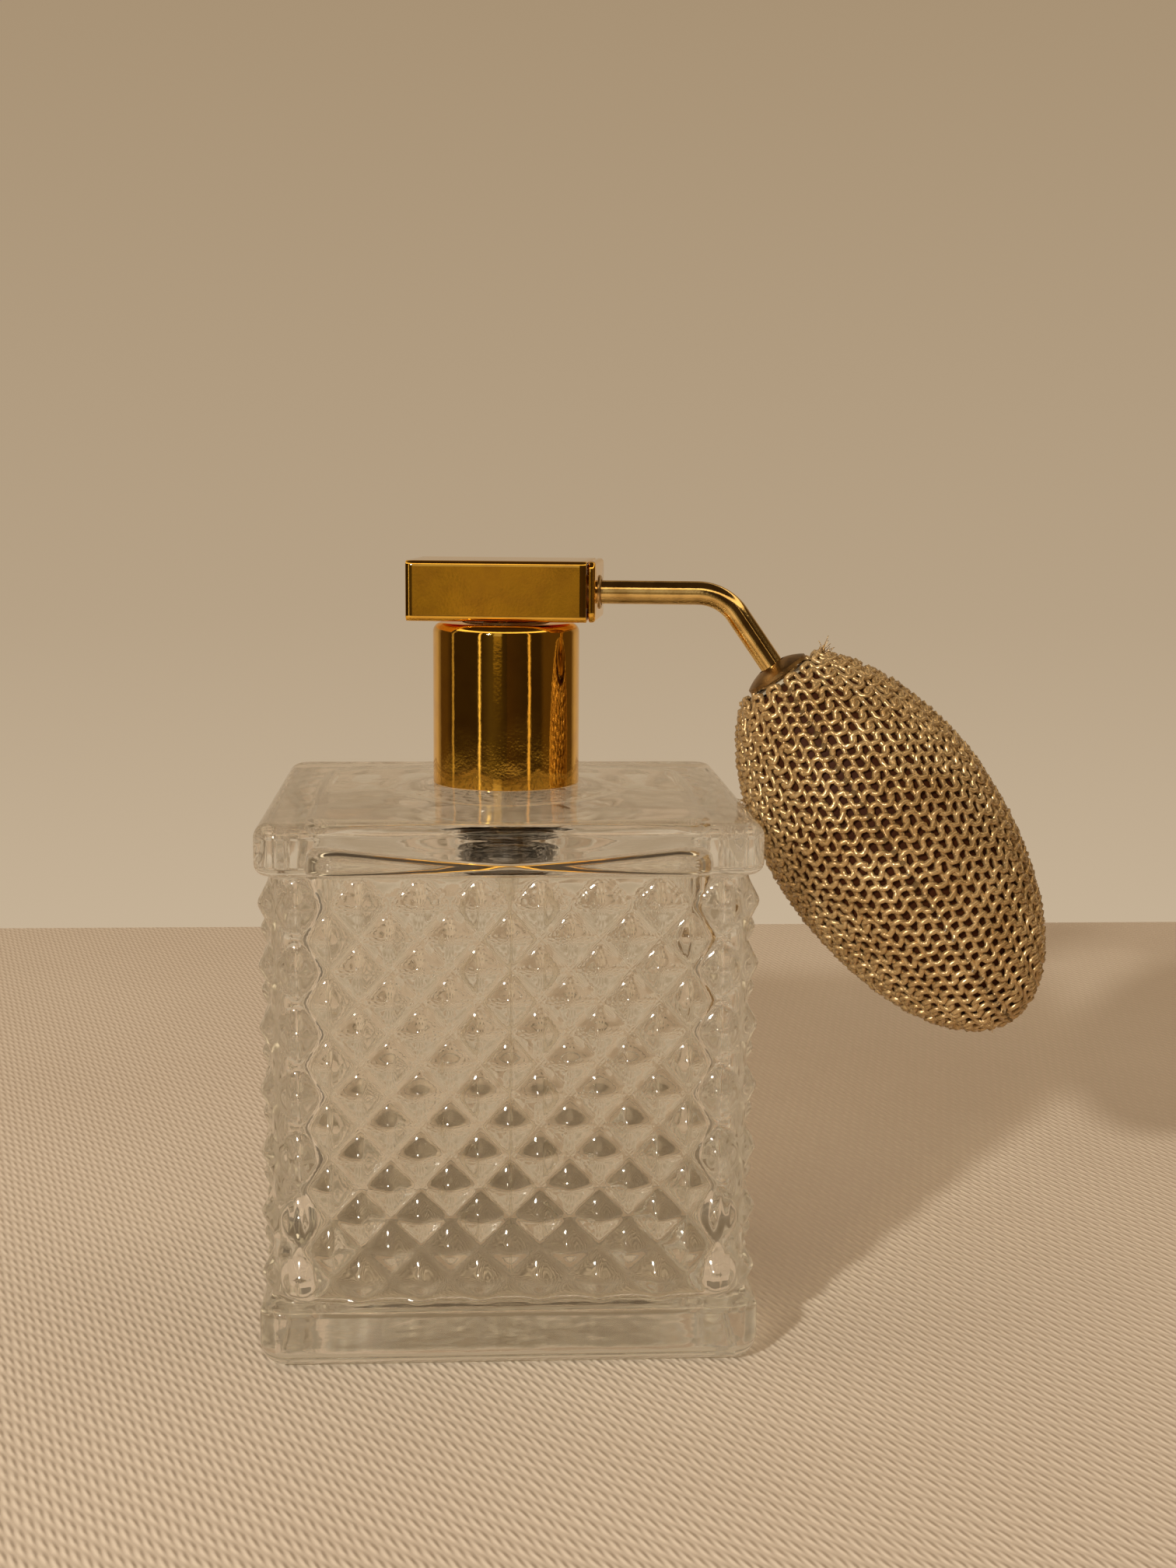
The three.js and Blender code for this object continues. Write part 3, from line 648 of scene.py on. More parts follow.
def crown(ring):
    """A ring of the shoulder lifted to its slightly domed surface."""
    ring = ring.copy()
    share = np.hypot(ring[:, 0], ring[:, 1]) / (BOTTLE_HALF - LEDGE_EDGE)
    ring[:, 2] = BOTTLE_TOP + CROWN * np.clip(1 - share ** 2, 0, 1)
    return ring


def neck_rings():
    """The threaded neck, the rounded mouth and the bore down to the cavity's ceiling."""
    rings = [crown(circle_ring(radius, 0, 4)) for radius in (13.0, 10.5, NECK_RADIUS + 0.9)]
    foot = BOTTLE_TOP + CROWN
    wall = arc(NECK_RADIUS + NECK_FILLET, foot + NECK_FILLET, NECK_FILLET, 260, 180, 4)
    rings += [circle_ring(radius, z, 4) for radius, z in wall]
    low, high = THREAD_START - THREAD_MARGIN, THREAD_START + THREAD_PITCH * THREAD_TURNS + THREAD_MARGIN
    for z in np.linspace(low, high, 26):
        ring = circle_ring(1, z, 4)
        ring[:, :2] *= (NECK_RADIUS + np.maximum(thread_bulge(ring), 0))[:, None]
        rings.append(ring)
    mouth = arc(NECK_RADIUS - NECK_LIP, NECK_TOP - NECK_LIP, NECK_LIP, 0, 90, 5)
    mouth += [(NECK_BORE + out, NECK_TOP - down) for out, down in ((0.4, 0), (0.1, 0.12), (0, 0.4))]
    mouth += arc(NECK_BORE + BORE_FLARE, CEILING + BORE_FLARE, BORE_FLARE, 180, 270, 6)
    return rings + [circle_ring(radius, z, 4) for radius, z in mouth]


def square_reach(angles, half, corner):
    """Distance from the axis to a rounded square's outline, at each angle."""
    c, s = np.abs(np.cos(angles)), np.abs(np.sin(angles))
    reach = half - corner
    to_flat = half / np.maximum(c, s)
    along = np.minimum(c, s) * to_flat
    forward = reach * (c + s)
    to_bend = forward + np.sqrt(np.maximum(forward ** 2 - 2 * reach ** 2 + corner ** 2, 0))
    return np.where(along <= reach, to_flat, to_bend)


def cavity_half(z):
    """Half the cavity's width at each height: the wall is thinner near the base."""
    share = np.clip((WALL_TAPER_TOP - z) / WALL_TAPER, 0, 1)
    return CAVITY_HALF_HIGH + (CAVITY_HALF_LOW - CAVITY_HALF_HIGH) * share ** 2 * (3 - 2 * share)


def ceiling_height(ring):
    """Height of the cavity's ceiling, which rises towards its four corners."""
    shares = np.clip(np.abs(ring[:, :2]) / CAVITY_HALF_HIGH, 0, 1) ** CEILING_POWER
    return CEILING + CEILING_RISE * shares[:, 0] * shares[:, 1]


def wall_ring(inset, z, angles):
    """A ring of the cavity's wall at heights z, drawn in by inset, with dimples behind the diamonds."""
    half = cavity_half(z)
    reach = square_reach(angles, half - inset, CAVITY_CORNER)
    ring = np.column_stack([reach * np.cos(angles), reach * np.sin(angles), z])
    along = np.where(np.abs(np.cos(angles)) > np.abs(np.sin(angles)), ring[:, 1], ring[:, 0])
    across = np.cos(2 * math.pi * (along / DIAMOND_WIDTH - 0.5))
    down = np.cos(2 * math.pi * (z - TOP_ROW_Z) / DIAMOND_HEIGHT)
    beside = np.clip((half - 2 - np.abs(along)) / 2, 0, 1)
    between = np.clip((z - RELIEF_LOW) / 3, 0, 1) * np.clip((RELIEF_HIGH - z) / 2, 0, 1)
    ring[:, :2] *= (1 + CAVITY_RELIEF * across * down * beside * between / reach)[:, None]
    return ring


def cavity_rings():
    """The cavity: its ceiling out from the bore, its walls downwards and its floor in to the middle."""
    circle = circle_ring(1, 0, 2)
    angles = np.arctan2(circle[:, 1], circle[:, 0])
    start = NECK_BORE + BORE_FLARE
    rim = square_reach(angles, CAVITY_HALF_HIGH - CEILING_EDGE, CAVITY_CORNER)
    rings = []
    for share in (0.15, 0.35, 0.55, 0.75, 0.92, 1.0):
        ring = circle * (start + (rim - start) * share)[:, None]
        ring[:, 2] = ceiling_height(ring)
        rings.append(ring)
    top = rings[-1][:, 2] - CEILING_EDGE
    for turn in np.radians([60, 30, 0]):
        inset = CEILING_EDGE * (1 - math.cos(turn))
        rings.append(wall_ring(inset, top + CEILING_EDGE * math.sin(turn), angles))
    low = CAVITY_FLOOR + CAVITY_EDGE
    rings += [wall_ring(0, low + (top - low) * share, angles) for share in np.linspace(1, 0, 48)[1:-1]]
    for turn in np.radians(np.linspace(0, 90, 8)):
        inset = CAVITY_EDGE * (1 - math.cos(turn))
        rings.append(wall_ring(inset, np.full(len(angles), low - CAVITY_EDGE * math.sin(turn)), angles))
    rings += [circle_ring(r, CAVITY_FLOOR, share) for r, share in ((15.0, 2), (8.0, 4))]
    rings.append(np.array([[0, 0, CAVITY_FLOOR]]))
    return rings


def split_on_grooves(faces, first_face, first_row, rows):
    """The patterned wall's faces as triangles whose diagonals follow the grooves."""
    done = []
    for row in range(rows):
        upper_half = (first_row + row) % FACETS >= FACETS // 2
        for i in range(FULL_RING):
            a, b, c, d = faces[first_face + row * FULL_RING + i]
            column = (i % PER_SIDE - SIDE_STEPS) % FACETS
            right_half = column < FACETS // 2
            if upper_half == right_half:
                done += [[a, b, c], [a, c, d]]
            else:
                done += [[a, b, d], [b, c, d]]
    return faces[:first_face] + done + faces[first_face + rows * FULL_RING:]


def make_bottle():
    """The bottle as one closed skin, from the middle of its underside to that of its inner floor."""
    pattern, first_row = pattern_rings()
    below = [np.zeros((1, 3)), circle_ring(10.0, 0, 4), circle_ring(22.0, 0), *base_rings()]
    shoulder = [side_ring(29.2, BAND_CORNER, 0), side_ring(26.0, 6.0, 0), circle_ring(20.0, 0)]
    above = ledge_rings() + [crown(ring) for ring in shoulder] + neck_rings()
    points, faces = join_rings(below + pattern + above + cavity_rings())
    faces_below = len(join_rings(below + pattern[:1])[1])
    faces = split_on_grooves(faces, faces_below, first_row, len(pattern) - 1)
    return add_mesh("pressed_bottle", points, faces, GLASS)


hand_over(make_bottle(), "bottle", "glass_bottle")


# --- collar ---

def make_collar():
    """The drawn gold shell of the screw collar, open below and holed on top."""
    inner = COLLAR_RADIUS - COLLAR_WALL
    fillet_r = COLLAR_RADIUS - COLLAR_FILLET
    fillet_z = COLLAR_TOP - COLLAR_FILLET
    profile = [(inner, COLLAR_LOW), (COLLAR_RADIUS - 0.05, COLLAR_LOW)]
    profile += [(COLLAR_RADIUS, z) for z in (COLLAR_LOW + 0.05, COLLAR_LOW + 1.0, fillet_z - 0.6)]
    profile += arc(fillet_r, fillet_z, COLLAR_FILLET, 0, 90, 12)
    profile += [(COLLAR_HOLE + 0.8, COLLAR_TOP), (COLLAR_HOLE, COLLAR_TOP)]
    profile.append((COLLAR_HOLE, COLLAR_TOP - COLLAR_WALL))
    profile += arc(fillet_r, fillet_z, COLLAR_FILLET - COLLAR_WALL, 90, 0, 8)
    return add_mesh("collar", *revolve(profile, 160), GOLD, sharp_over=40)


hand_over(make_collar(), "collar", "collar_shell")


# --- spray head ---

HEAD_MIDDLE = (HEAD_LOW + HEAD_TOP) / 2
HEAD_HEIGHT = HEAD_TOP - HEAD_LOW
SHELL_RIGHT = HEAD_RIGHT - PLATE - GAP


def section_ring(x, width, height, radius):
    """A ring round the head's box section at one place along it."""
    outline = rounded_rectangle(width, height, radius)
    along = np.full(len(outline), x)
    return in_head(np.column_stack([along, outline[:, 0], outline[:, 1] + HEAD_MIDDLE]))


def box_ring(x, inset):
    """A ring of the box, drawn in from its outside by inset."""
    return section_ring(x, HEAD_DEPTH - 2 * inset, HEAD_HEIGHT - 2 * inset, max(HEAD_EDGE - inset, 0.15))


def make_head_shell():
    """The folded box of the head, open at both ends, with softened rims."""
    rim = 0.08
    stations = [(HEAD_LEFT + rim, 0), (HEAD_LEFT + 1, 0), (SHELL_RIGHT - 1, 0), (SHELL_RIGHT - rim, 0)]
    stations += [(SHELL_RIGHT, rim), (SHELL_RIGHT, HEAD_WALL - rim), (SHELL_RIGHT - rim, HEAD_WALL)]
    stations += [(HEAD_LEFT + rim, HEAD_WALL), (HEAD_LEFT, HEAD_WALL - rim), (HEAD_LEFT, rim)]
    points, faces = join_rings([box_ring(x, inset) for x, inset in stations], closed=True)
    return add_mesh("head_box", points, faces, GOLD, sharp_over=50)


def make_plate(name, left, right, width, height, corner, bevel):
    """A solid end plate with a chamfered inner rim and a rounded outer one."""
    rim = 0.1
    bends = np.radians(np.linspace(0, 90, 6))
    stations = [(left, rim), (left + rim, 0)]
    stations += [(right - bevel + bevel * math.sin(a), bevel - bevel * math.cos(a)) for a in bends]
    rings = [section_ring(x, width - 2 * inset, height - 2 * inset, max(corner - inset, rim))
             for x, inset in stations]
    centre_left = in_head([[left, 0, HEAD_MIDDLE]])
    centre_right = in_head([[right, 0, HEAD_MIDDLE]])
    points, faces = join_rings([centre_left] + rings + [centre_right])
    return add_mesh(name, points, faces, GOLD, sharp_over=30)


def make_nozzle():
    """The turned spray nozzle with its hole, a small ring in the box's left end."""
    front = HEAD_LEFT - 0.1
    profile = [(0.6, front), (NOZZLE_RADIUS - 0.4, front), (NOZZLE_RADIUS, front + 0.4)]
    profile += [(NOZZLE_RADIUS, front + 1.3), (1.5, front + 1.7), (1.5, front + 3.5), (1.0, front + 3.5)]
    profile += [(1.0, front + 1.5), (NOZZLE_HOLE, front + 0.8), (NOZZLE_HOLE, front)]
    return add_mesh("nozzle", *revolve(profile, 48, along_x), INNER_BRASS, sharp_over=30)


def make_bush():
    """The brass ring where the air tube enters the box's right end."""
    inside, outside, hole = SHELL_RIGHT - 0.6, HEAD_RIGHT + 0.3, TUBE_RADIUS + 0.2
    profile = [(hole, inside), (2.3, inside), (2.3, outside - 0.18), (2.1, outside), (hole, outside)]
    return add_mesh("bush", *revolve(profile, 48, along_x), INNER_BRASS, sharp_over=30)


hand_over(make_head_shell(), "head", "head_shell")

spray_left = HEAD_LEFT + SPRAY_INSET
margin = 2 * (HEAD_WALL + GAP)
spray_plate = make_plate("spray_plate", spray_left, spray_left + PLATE, HEAD_DEPTH - margin,
                         HEAD_HEIGHT - margin, SPRAY_CORNER, SPRAY_EDGE)
air_plate = make_plate("air_plate", HEAD_RIGHT - PLATE, HEAD_RIGHT, HEAD_DEPTH,
                       HEAD_HEIGHT, CAP_CORNER, CAP_EDGE)
hand_over(spray_plate, "head", "spray_end_plate")
hand_over(air_plate, "head", "air_end_plate")
hand_over(make_nozzle(), "head", "spray_nozzle")
hand_over(make_bush(), "head", "tube_bush")


# --- air tube and dip tube ---

def tube_path():
    """The air tube's centre line: a level run, one bend and a sloping run into the bulb's valve."""
    corner = np.array([TUBE_CORNER, 0, TUBE_HEIGHT])
    setback = BEND_RADIUS * math.tan(TUBE_DROP / 2)
    bend_start = corner - np.array([setback, 0, 0])
    start = np.array([TUBE_START, 0, TUBE_HEIGHT])
    level = [start + (bend_start - start) * share for share in np.linspace(0, 1, 12)]
    bend = [bend_start + BEND_RADIUS * np.array([math.sin(a), 0, math.cos(a) - 1])
            for a in np.linspace(0, TUBE_DROP, 25)[1:]]
    end = corner + (DROP_LENGTH + TUBE_TAIL) * DROP_DIRECTION
    slope = [bend[-1] + (end - bend[-1]) * share for share in np.linspace(0, 1, 12)[1:]]
    return in_head(np.array(level + bend + slope))


tube_skin = sweep(tube_path(), (TUBE_RADIUS, TUBE_BORE), 48)
tube = add_mesh("air_pipe", *tube_skin, TUBE_GOLD, sharp_over=40)
hand_over(tube, "head", "air_tube")

dip_low, dip_high = (corner.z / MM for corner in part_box("dip_tube"))
dip_profile = [(DIP_BORE, dip_low), (DIP_RADIUS, dip_low), (DIP_RADIUS, dip_high), (DIP_BORE, dip_high)]
dip = add_mesh("dip_pipe", *revolve(dip_profile, 48), CLEAR_TUBE, sharp_over=30)
hand_over(dip, "head", "dip_tube")


# --- bulb ---

def bulb_radius(along):
    """The bulb's radius over its net, at a distance along its axis."""
    before = along < BULB_WIDEST
    reach = np.where(before, NECK_REACH, BULB_LENGTH - BULB_WIDEST)
    power = np.where(before, NECK_POWER, 2.0)
    share = np.minimum(np.abs(along - BULB_WIDEST) / reach, 1)
    return BULB_RADIUS * np.sqrt(1 - share ** power)


def skin_profile(depth, mouth, mouth_place, tip, steps):
    """Profile of a surface a given depth inside the net's outside, from the mouth to the tip hole."""
    last = BULB_LENGTH - depth
    points = [(mouth, mouth_place)]
    for a in np.linspace(0, math.pi / 2, steps):
        along = BULB_WIDEST - (BULB_WIDEST - mouth_place) * math.cos(a)
        points.append((float(bulb_radius(along)) - depth, along))
    for a in np.linspace(0, math.pi / 2, steps)[1:]:
        along = BULB_WIDEST + (last - BULB_WIDEST) * math.sin(a)
        points.append(((BULB_RADIUS - depth) * math.cos(a), along))
    return [p for p in points[:-1] if p[0] > tip + 0.2 or p[1] < BULB_WIDEST] + [(tip, last)]


def make_rubber():
    """The hollow rubber bulb, open at its mouth and its tip."""
    outer = skin_profile(RUBBER_DEPTH, RUBBER_MOUTH, RUBBER_START, RUBBER_TIP, 40)
    inner_start = RUBBER_START + RUBBER_WALL
    inner = skin_profile(RUBBER_DEPTH + RUBBER_WALL, RUBBER_MOUTH, inner_start, RUBBER_TIP, 40)
    outside = [p for p in outer if p[0] >= RUBBER_MOUTH]
    inside = [p for p in inner if p[0] >= RUBBER_MOUTH and p[1] > inner_start - 0.01]
    end = BULB_LENGTH - RUBBER_DEPTH
    profile = outside + [(RUBBER_TIP, end), (RUBBER_TIP, end - RUBBER_WALL)] + inside[::-1]
    return add_mesh("rubber", *revolve(profile, 128, on_bulb), RUBBER, sharp_over=60)


def make_dome():
    """The brass dome over the bulb's mouth, holed for the air tube."""
    cap_radius = (DOME_RADIUS ** 2 + DOME_HEIGHT ** 2) / (2 * DOME_HEIGHT)
    centre = cap_radius - DOME_HEIGHT + DOME_RIM

    def cap(radius):
        leans = np.linspace(math.asin(DOME_HOLE / radius), math.asin(min(DOME_RADIUS / radius, 1)), 14)
        return [(radius * math.sin(a), centre - radius * math.cos(a)) for a in leans]

    profile = cap(cap_radius) + cap(cap_radius - DOME_WALL)[::-1]
    return add_mesh("dome", *revolve(profile, 96, on_bulb), AGED_BRASS, sharp_over=50)


rubber = make_rubber()
hand_over(rubber, "bulb", "rubber_bulb")
hand_over(make_dome(), "bulb", "ferrule_dome")


# --- knitted net ---

def surface_table():
    """The net's middle surface as arc length, place along the axis and radius."""
    depth = LOOP_LIFT + YARN_RADIUS
    mouth = DOME_RADIUS - 0.5
    profile = np.array(skin_profile(depth, mouth, 0.9, NET_TIP, 400))
    profile = profile[profile[:, 0] >= NET_TIP]
    profile = profile[np.argmax(profile[1:, 0] >= mouth) + 1:]
    lengths = np.concatenate([[0], np.cumsum(np.hypot(*np.diff(profile, axis=0).T))])
    return lengths, profile[:, 1], profile[:, 0]


def net_centre_lines():
    """The yarn's path for each course: radius, angle, place along the axis and outward direction."""
    lengths, along, radius = surface_table()
    courses = int(lengths[-1] / COURSE_PITCH)
    pitch = lengths[-1] / courses
    rows = []
    rng = np.random.default_rng(7)
    for course in range(courses):
        girth = 2 * math.pi * np.interp((course + 0.5) * pitch, lengths, radius)
        wales = max(round(girth / STITCH_WIDTH), FEWEST_WALES)
        t = np.linspace(0, 2 * math.pi * wales, wales * YARN_STEPS, endpoint=False)
        shift, slack, rise = (np.repeat(rng.normal(0, size, wales), YARN_STEPS)
                              for size in (SHIFT_SPREAD, SLACK_SPREAD, RISE_SPREAD))
        angle = (t / (2 * math.pi) + LOOP_LEAN * np.sin(2 * t) + shift) * 2 * math.pi / wales
        place = (course + 0.5 + (LOOP_REACH + slack) * np.cos(t)) * pitch
        place = np.clip(place, 0, lengths[-1])
        lift = (LOOP_LIFT + rise) * np.cos(2 * t)
        r = np.interp(place, lengths, radius)
        w = np.interp(place, lengths, along)
        ahead, behind = place + SLOPE_STEP, place - SLOPE_STEP
        slope_r, slope_w = (np.interp(ahead, lengths, values) - np.interp(behind, lengths, values)
                            for values in (radius, along))
        size = np.hypot(slope_r, slope_w)
        out_r, out_w = slope_w / size, -slope_r / size
        rows.append((r + lift * out_r, angle, w + lift * out_w, out_r, out_w))
    return rows


def yarn_tube(r, angle, w, out_r, out_w):
    """Points of one course's closed yarn."""
    centre = np.stack([r * np.cos(angle), r * np.sin(angle), w], 1)
    normal = np.stack([out_r * np.cos(angle), out_r * np.sin(angle), out_w], 1)
    tangent = np.roll(centre, -1, 0) - np.roll(centre, 1, 0)
    tangent /= np.linalg.norm(tangent, axis=1)[:, None]
    across = np.cross(tangent, normal)
    across /= np.linalg.norm(across, axis=1)[:, None]
    up = np.cross(across, tangent)
    turns = np.linspace(0, 2 * math.pi, YARN_SIDES, endpoint=False)
    spokes = [math.cos(turn) * across + math.sin(turn) * up for turn in turns]
    return np.stack([centre + YARN_RADIUS * spoke for spoke in spokes], 1)


def fibre_path(root, outward, rng):
    """One thin fibre's curved path, from a place near root."""
    first = outward + rng.normal(0, 0.5, 3)
    bend = rng.normal(0, 0.8, 3)
    share = np.linspace(0, 1, 9)[:, None]
    return root + rng.normal(0, 0.3, 3) + FIBRE_LENGTH * (first * share + bend * share ** 2)


def make_loose_ends():
    """Frayed fibres at the places where the net's yarn was cut."""
    rng = np.random.default_rng(3)
    points, faces = [], []
    for along, degrees, count in LOOSE_ENDS:
        turn = math.radians(degrees)
        outward = np.array([math.cos(turn), math.sin(turn), -0.4])
        root = np.array([math.cos(turn), math.sin(turn), 0]) * (bulb_radius(along) - 0.6) + [0, 0, along]
        for _ in range(count):
            fibre, sides = sweep(fibre_path(root, outward, rng), (FIBRE_RADIUS, FIBRE_BORE), 5)
            faces += [[len(points) + i for i in face] for face in sides]
            points += list(on_bulb(fibre))
    return add_mesh("loose_ends", np.array(points), faces, YARN)


def make_net():
    """The knitted net: one closed tube of yarn for each course, with UV along and round the yarn."""
    points, faces, uv, start = [], [], [], 0
    for row in net_centre_lines():
        tube_points = yarn_tube(*row)
        steps, sides = tube_points.shape[:2]
        index = start + np.arange(steps * sides).reshape(steps, sides)
        after = np.roll(index, -1, 0)
        quads = np.stack([index, np.roll(index, -1, 1), np.roll(after, -1, 1), after], 2)
        faces += quads.reshape(-1, 4)[:, ::-1].tolist()
        along = np.repeat(np.arange(steps) / YARN_STEPS * 5, sides)
        around = np.tile(np.arange(sides) / sides, steps)
        uv.append(np.stack([along, around], 1))
        points.append(on_bulb(tube_points.reshape(-1, 3)))
        start += steps * sides
    return add_mesh("knitted_net", np.vstack(points), faces, YARN, uv=np.vstack(uv))


net = make_net()
hand_over(net, "bulb", "bulb_net")

loose_ends = make_loose_ends()
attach(loose_ends, "bulb")

for piece in (net, loose_ends, rubber):
    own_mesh(piece)


# --- carried-over CAD nodes ---

NODE_MATERIALS = {
    # The collar liner gets the painted shade material, darkened for the shade inside the collar.
    "mouth_gasket": SEAL, "collar_liner": LINER_PAINTED_SHADE, "thrust_washer": INNER_BRASS,
    "atomiser_block": PLASTIC, "air_jet": INNER_BRASS, "stem": INNER_BRASS,
    "seat_flange": INNER_BRASS, "dip_tube_ferrule": INNER_BRASS, "valve_body": INNER_BRASS,
    "ball_retainer": INNER_BRASS, "outlet_ball": STEEL, "net_tie": THREAD,
    "inlet_eyelet": INNER_BRASS, "inlet_flap": RUBBER,
}
for node, material in NODE_MATERIALS.items():
    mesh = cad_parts[node].data
    mesh.materials.clear()
    mesh.materials.append(material)


# --- camera ---

CAMERA_PLACE = Vector((-0.00558, -0.29868, 0.11267))
CAMERA_YAW = 0.0565
CAMERA_PITCH = 0.1383
CAMERA_ROLL = -0.006
LENS = 50.17
SENSOR = 36.0


def add_camera():
    """The photograph's viewpoint: slightly left of the middle and looking slightly down."""
    data = bpy.data.cameras.new("camera")
    data.lens = LENS
    data.sensor_width = SENSOR
    camera = bpy.data.objects.new("camera", data)
    forward = Vector((math.sin(CAMERA_YAW) * math.cos(CAMERA_PITCH),
                      math.cos(CAMERA_YAW) * math.cos(CAMERA_PITCH), -math.sin(CAMERA_PITCH)))
    level = Vector((math.cos(CAMERA_YAW), -math.sin(CAMERA_YAW), 0))
    down = forward.cross(level)
    right = math.cos(CAMERA_ROLL) * level + math.sin(CAMERA_ROLL) * down
    up = math.sin(CAMERA_ROLL) * level - math.cos(CAMERA_ROLL) * down
    turned = Matrix((right, up, -forward)).transposed().to_4x4()
    camera.matrix_world = Matrix.Translation(CAMERA_PLACE) @ turned
    bpy.context.scene.collection.objects.link(camera)
    bpy.context.scene.camera = camera


# --- floor, wall colour and light ---

FLOOR_REACH = 290.0
FLOOR_EDGE = 249.0
FLOOR_Z = -0.12
FLOOR_CELLS = 8
KEY_DIRECTION = (-0.441, -0.787, 0.4305)
KEY_DISTANCE = 0.9
KEY_SIZE = 0.05
KEY_POWER = 5.8


def floor_material():
    """Pale woven table cover, with painted shade in the weave's hollows."""
    material, tree, shader = new_material("table_cover")
    shader.inputs["Specular IOR Level"].default_value = 0.2
    place = add_node(tree, "TexCoord")
    heights = []
    for turn, scale in ((-14, 290), (-52, 143)):
        mapping = add_node(tree, "Mapping", Rotation=(0, 0, math.radians(turn)))
        wave = add_node(tree, "TexWave", Scale=scale, Distortion=1.4, Detail=2)
        tree.links.new(place.outputs["Object"], mapping.inputs["Vector"])
        tree.links.new(mapping.outputs["Vector"], wave.inputs["Vector"])
        heights.append(wave.outputs["Fac"])
    weave = calculated(tree, *heights)
    tone = spread(tree, noise(tree, 14, 5), 0, 1)
    cloth = mixed(tree, tone, (0.67, 0.555, 0.435), (0.72, 0.605, 0.48))
    # Painted shade: the cloth turns darker where the weave's height is low, in its hollows.
    shade = mixed(tree, spread(tree, weave, 0.22, 0, 0, 0.5), cloth, (0.46, 0.36, 0.27))
    shader.inputs["Roughness"].default_value = 0.85
    connect(tree, shader, shade, normal=bump(tree, weave, 0.22, 0.8))
    return material


def add_floor():
    """A table top whose straight far edge is the picture's horizon."""
    row = FLOOR_CELLS + 1
    across = np.linspace(-FLOOR_REACH, FLOOR_REACH, row)
    back = np.linspace(-FLOOR_REACH, FLOOR_EDGE, row)
    points = [(x, y, FLOOR_Z) for y in back for x in across]
    corners = [i * row + j for i in range(FLOOR_CELLS) for j in range(FLOOR_CELLS)]
    faces = [(corner, corner + 1, corner + 1 + row, corner + row) for corner in corners]
    floor = add_mesh("table", points, faces, floor_material())


def wall_colour(tree, height):
    """The plain wall behind the table, darker towards its top."""
    return ramp(tree, height, [
        (0.0, (0.50, 0.38, 0.25)), (0.40, (0.565, 0.446, 0.31)), (0.47, (0.47, 0.36, 0.24)),
        (0.60, (0.395, 0.29, 0.18)), (0.75, (0.26, 0.18, 0.10)), (1.0, (0.08, 0.05, 0.028))])


def room_bands(tree, azimuth):
    """The dim room behind the viewer: upright bands of lit and dark wall round the compass."""
    dark, brown, dim = (0.032, 0.020, 0.011), (0.085, 0.05, 0.02), (0.3, 0.22, 0.13)
    return ramp(tree, azimuth, [
        (0.0, dark), (0.07, (0.075, 0.055, 0.03)), (0.114, dark), (0.12, (1.7, 1.4, 0.95)),
        (0.126, dark), (0.25, dark), (0.258, (0.6, 0.46, 0.26)), (0.266, dark), (0.30, brown),
        (0.37, brown), (0.40, dim), (0.62, dim), (0.65, brown), (0.83, brown), (0.85, dark),
        (0.895, dark), (0.902, (1.2, 0.85, 0.45)), (0.91, dark), (1.0, (0.05, 0.028, 0.014))])


def lit_opening(tree, azimuth, height, level, bands):
    """The bands with a softly mottled lit opening in them, which the head's front reflects."""
    black, white = (0, 0, 0), (1, 1, 1)
    across = ramp(tree, azimuth, [(0.020, black), (0.026, white), (0.056, white), (0.062, black)])
    upward = ramp(tree, height, [(0.455, black), (0.460, white), (0.76, white), (0.78, black)])
    mottle = spread(tree, noise(tree, 45, 3, coordinates="Generated"), 0, 1)
    glow = mixed(tree, mottle, (0.12, 0.095, 0.03), (0.38, 0.26, 0.10))
    glow = mixed(tree, spread(tree, level, 0, 1, 0.0, 0.06), glow, (0.46, 0.40, 0.33))
    return mixed(tree, calculated(tree, across, upward), bands, glow)


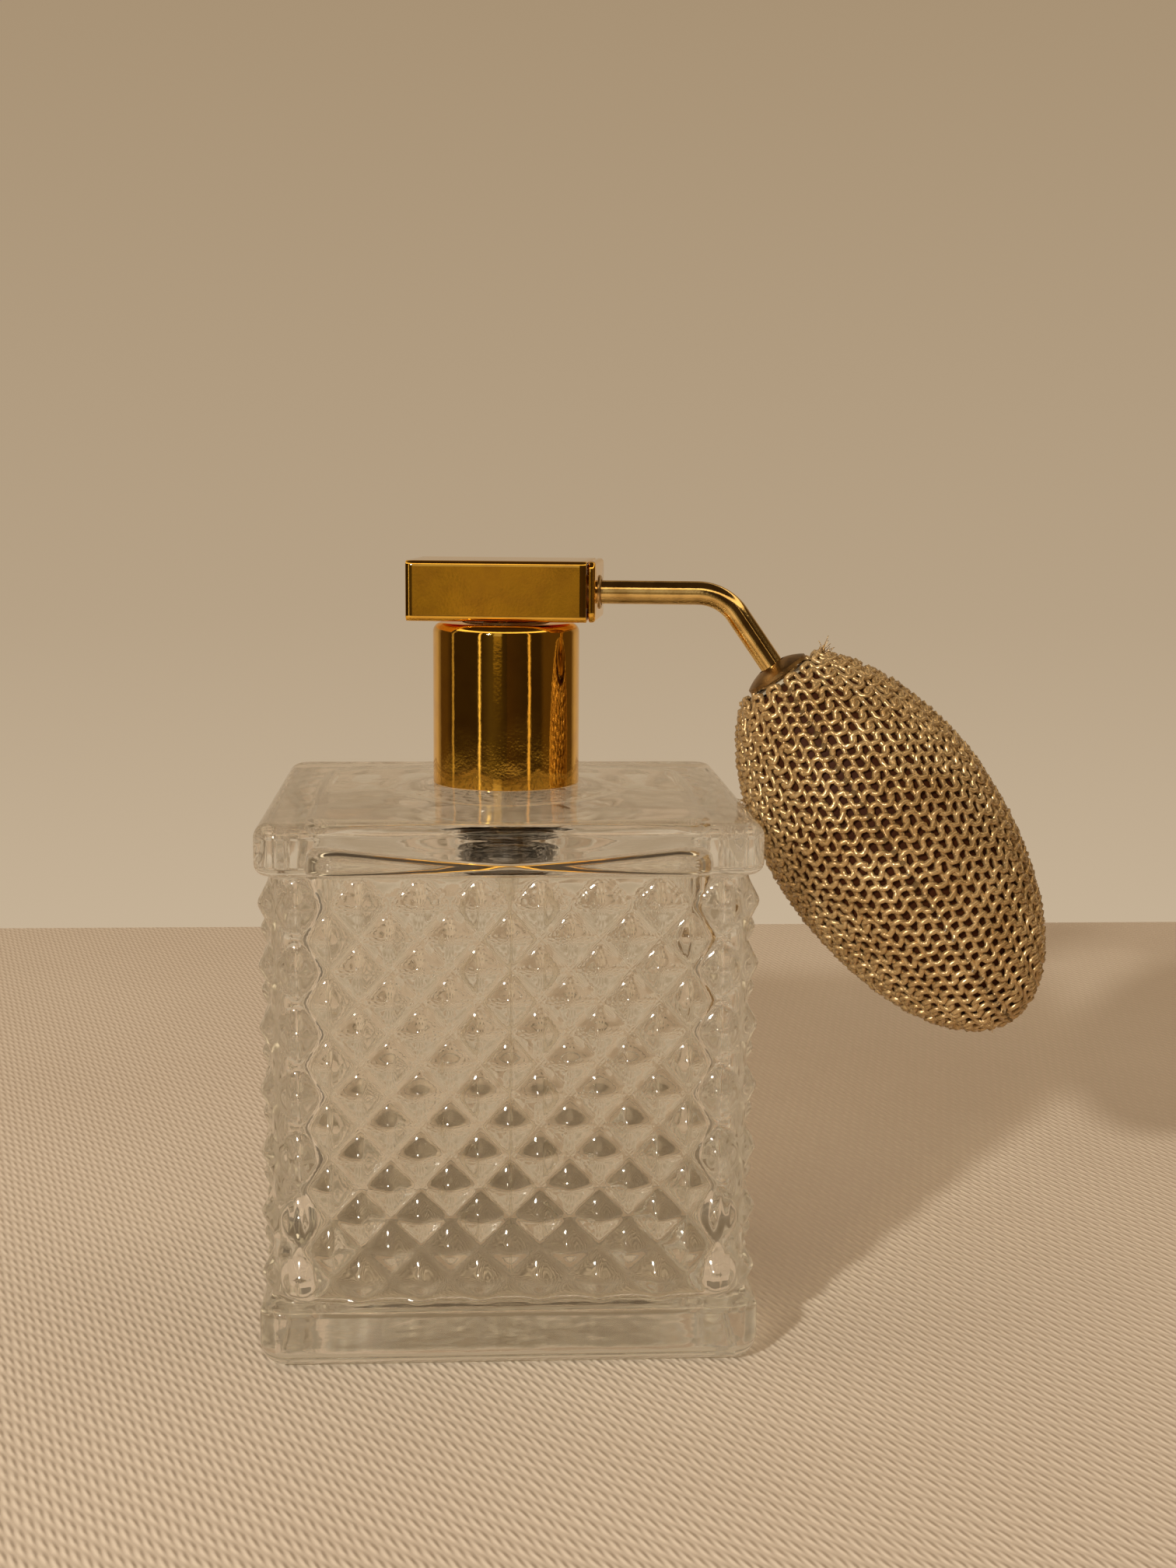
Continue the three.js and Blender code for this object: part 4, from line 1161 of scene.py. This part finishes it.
def reflected_room(tree, azimuth, height, level):
    """The reflected room: bands at eye height, the lit cloth below and a bright strip above."""
    cloth_share = spread(tree, level, 1, 0, -0.141, -0.133)
    bands = mixed(tree, cloth_share, room_bands(tree, azimuth), (0.36, 0.29, 0.20), "ADD")
    side = lit_opening(tree, azimuth, height, level, bands)
    lamp = (1.7, 1.35, 0.85)
    above = ramp(tree, level, [(0.54, (0.04, 0.03, 0.02)), (0.58, lamp), (0.72, lamp),
                               (0.76, (0.04, 0.024, 0.012))])
    return mixed(tree, spread(tree, level, 0, 1, 0.48, 0.54), side, above)


def add_world():
    """The wall for the camera, an even soft light, and the wall and a dim room for reflections."""
    world = bpy.data.worlds.new("room")
    world.use_nodes = True
    bpy.context.scene.world = world
    tree = world.node_tree
    tree.nodes.clear()
    place = add_node(tree, "TexCoord")
    parts = add_node(tree, "SeparateXYZ")
    tree.links.new(place.outputs["Generated"], parts.inputs["Vector"])
    level = parts.outputs["Z"]
    height = spread(tree, level, 0, 1, -1, 1)
    turn = calculated(tree, parts.outputs["X"], parts.outputs["Y"], "ARCTAN2")
    azimuth = spread(tree, turn, 0, 1, -math.pi, math.pi)
    wall = wall_colour(tree, height)
    room = reflected_room(tree, azimuth, height, level)
    path = add_node(tree, "LightPath")
    through = mixed(tree, spread(tree, path.outputs["Is Transmission Ray"], 0, 0.4, 0, 1), room, wall)
    seen = mixed(tree, spread(tree, parts.outputs["Y"], 0, 1, 0.55, 0.75), through, wall)
    soft = mixed(tree, path.outputs["Is Diffuse Ray"], seen, (0.50, 0.40, 0.30))
    light = mixed(tree, path.outputs["Is Camera Ray"], soft, wall)
    background = add_node(tree, "Background")
    output = add_node(tree, "OutputWorld")
    tree.links.new(light, background.inputs["Color"])
    tree.links.new(background.outputs["Background"], output.inputs["Surface"])


def add_key_light():
    """A warm lamp behind the viewer's left shoulder; the shadows fall back to the right."""
    data = bpy.data.lights.new("key", "AREA")
    data.shape = "DISK"
    data.size = KEY_SIZE
    data.energy = KEY_POWER
    data.color = (1.0, 0.96, 0.86)
    lamp = bpy.data.objects.new("key", data)
    direction = Vector(KEY_DIRECTION).normalized()
    lamp.location = direction * KEY_DISTANCE
    lamp.rotation_euler = direction.to_track_quat("Z", "Y").to_euler()
    bpy.context.scene.collection.objects.link(lamp)


add_camera()
add_floor()
add_world()
add_key_light()
scene = bpy.context.scene
scene.view_settings.view_transform = "Standard"
scene.cycles.max_bounces = 24
scene.cycles.glossy_bounces = 16
scene.cycles.transmission_bounces = 24
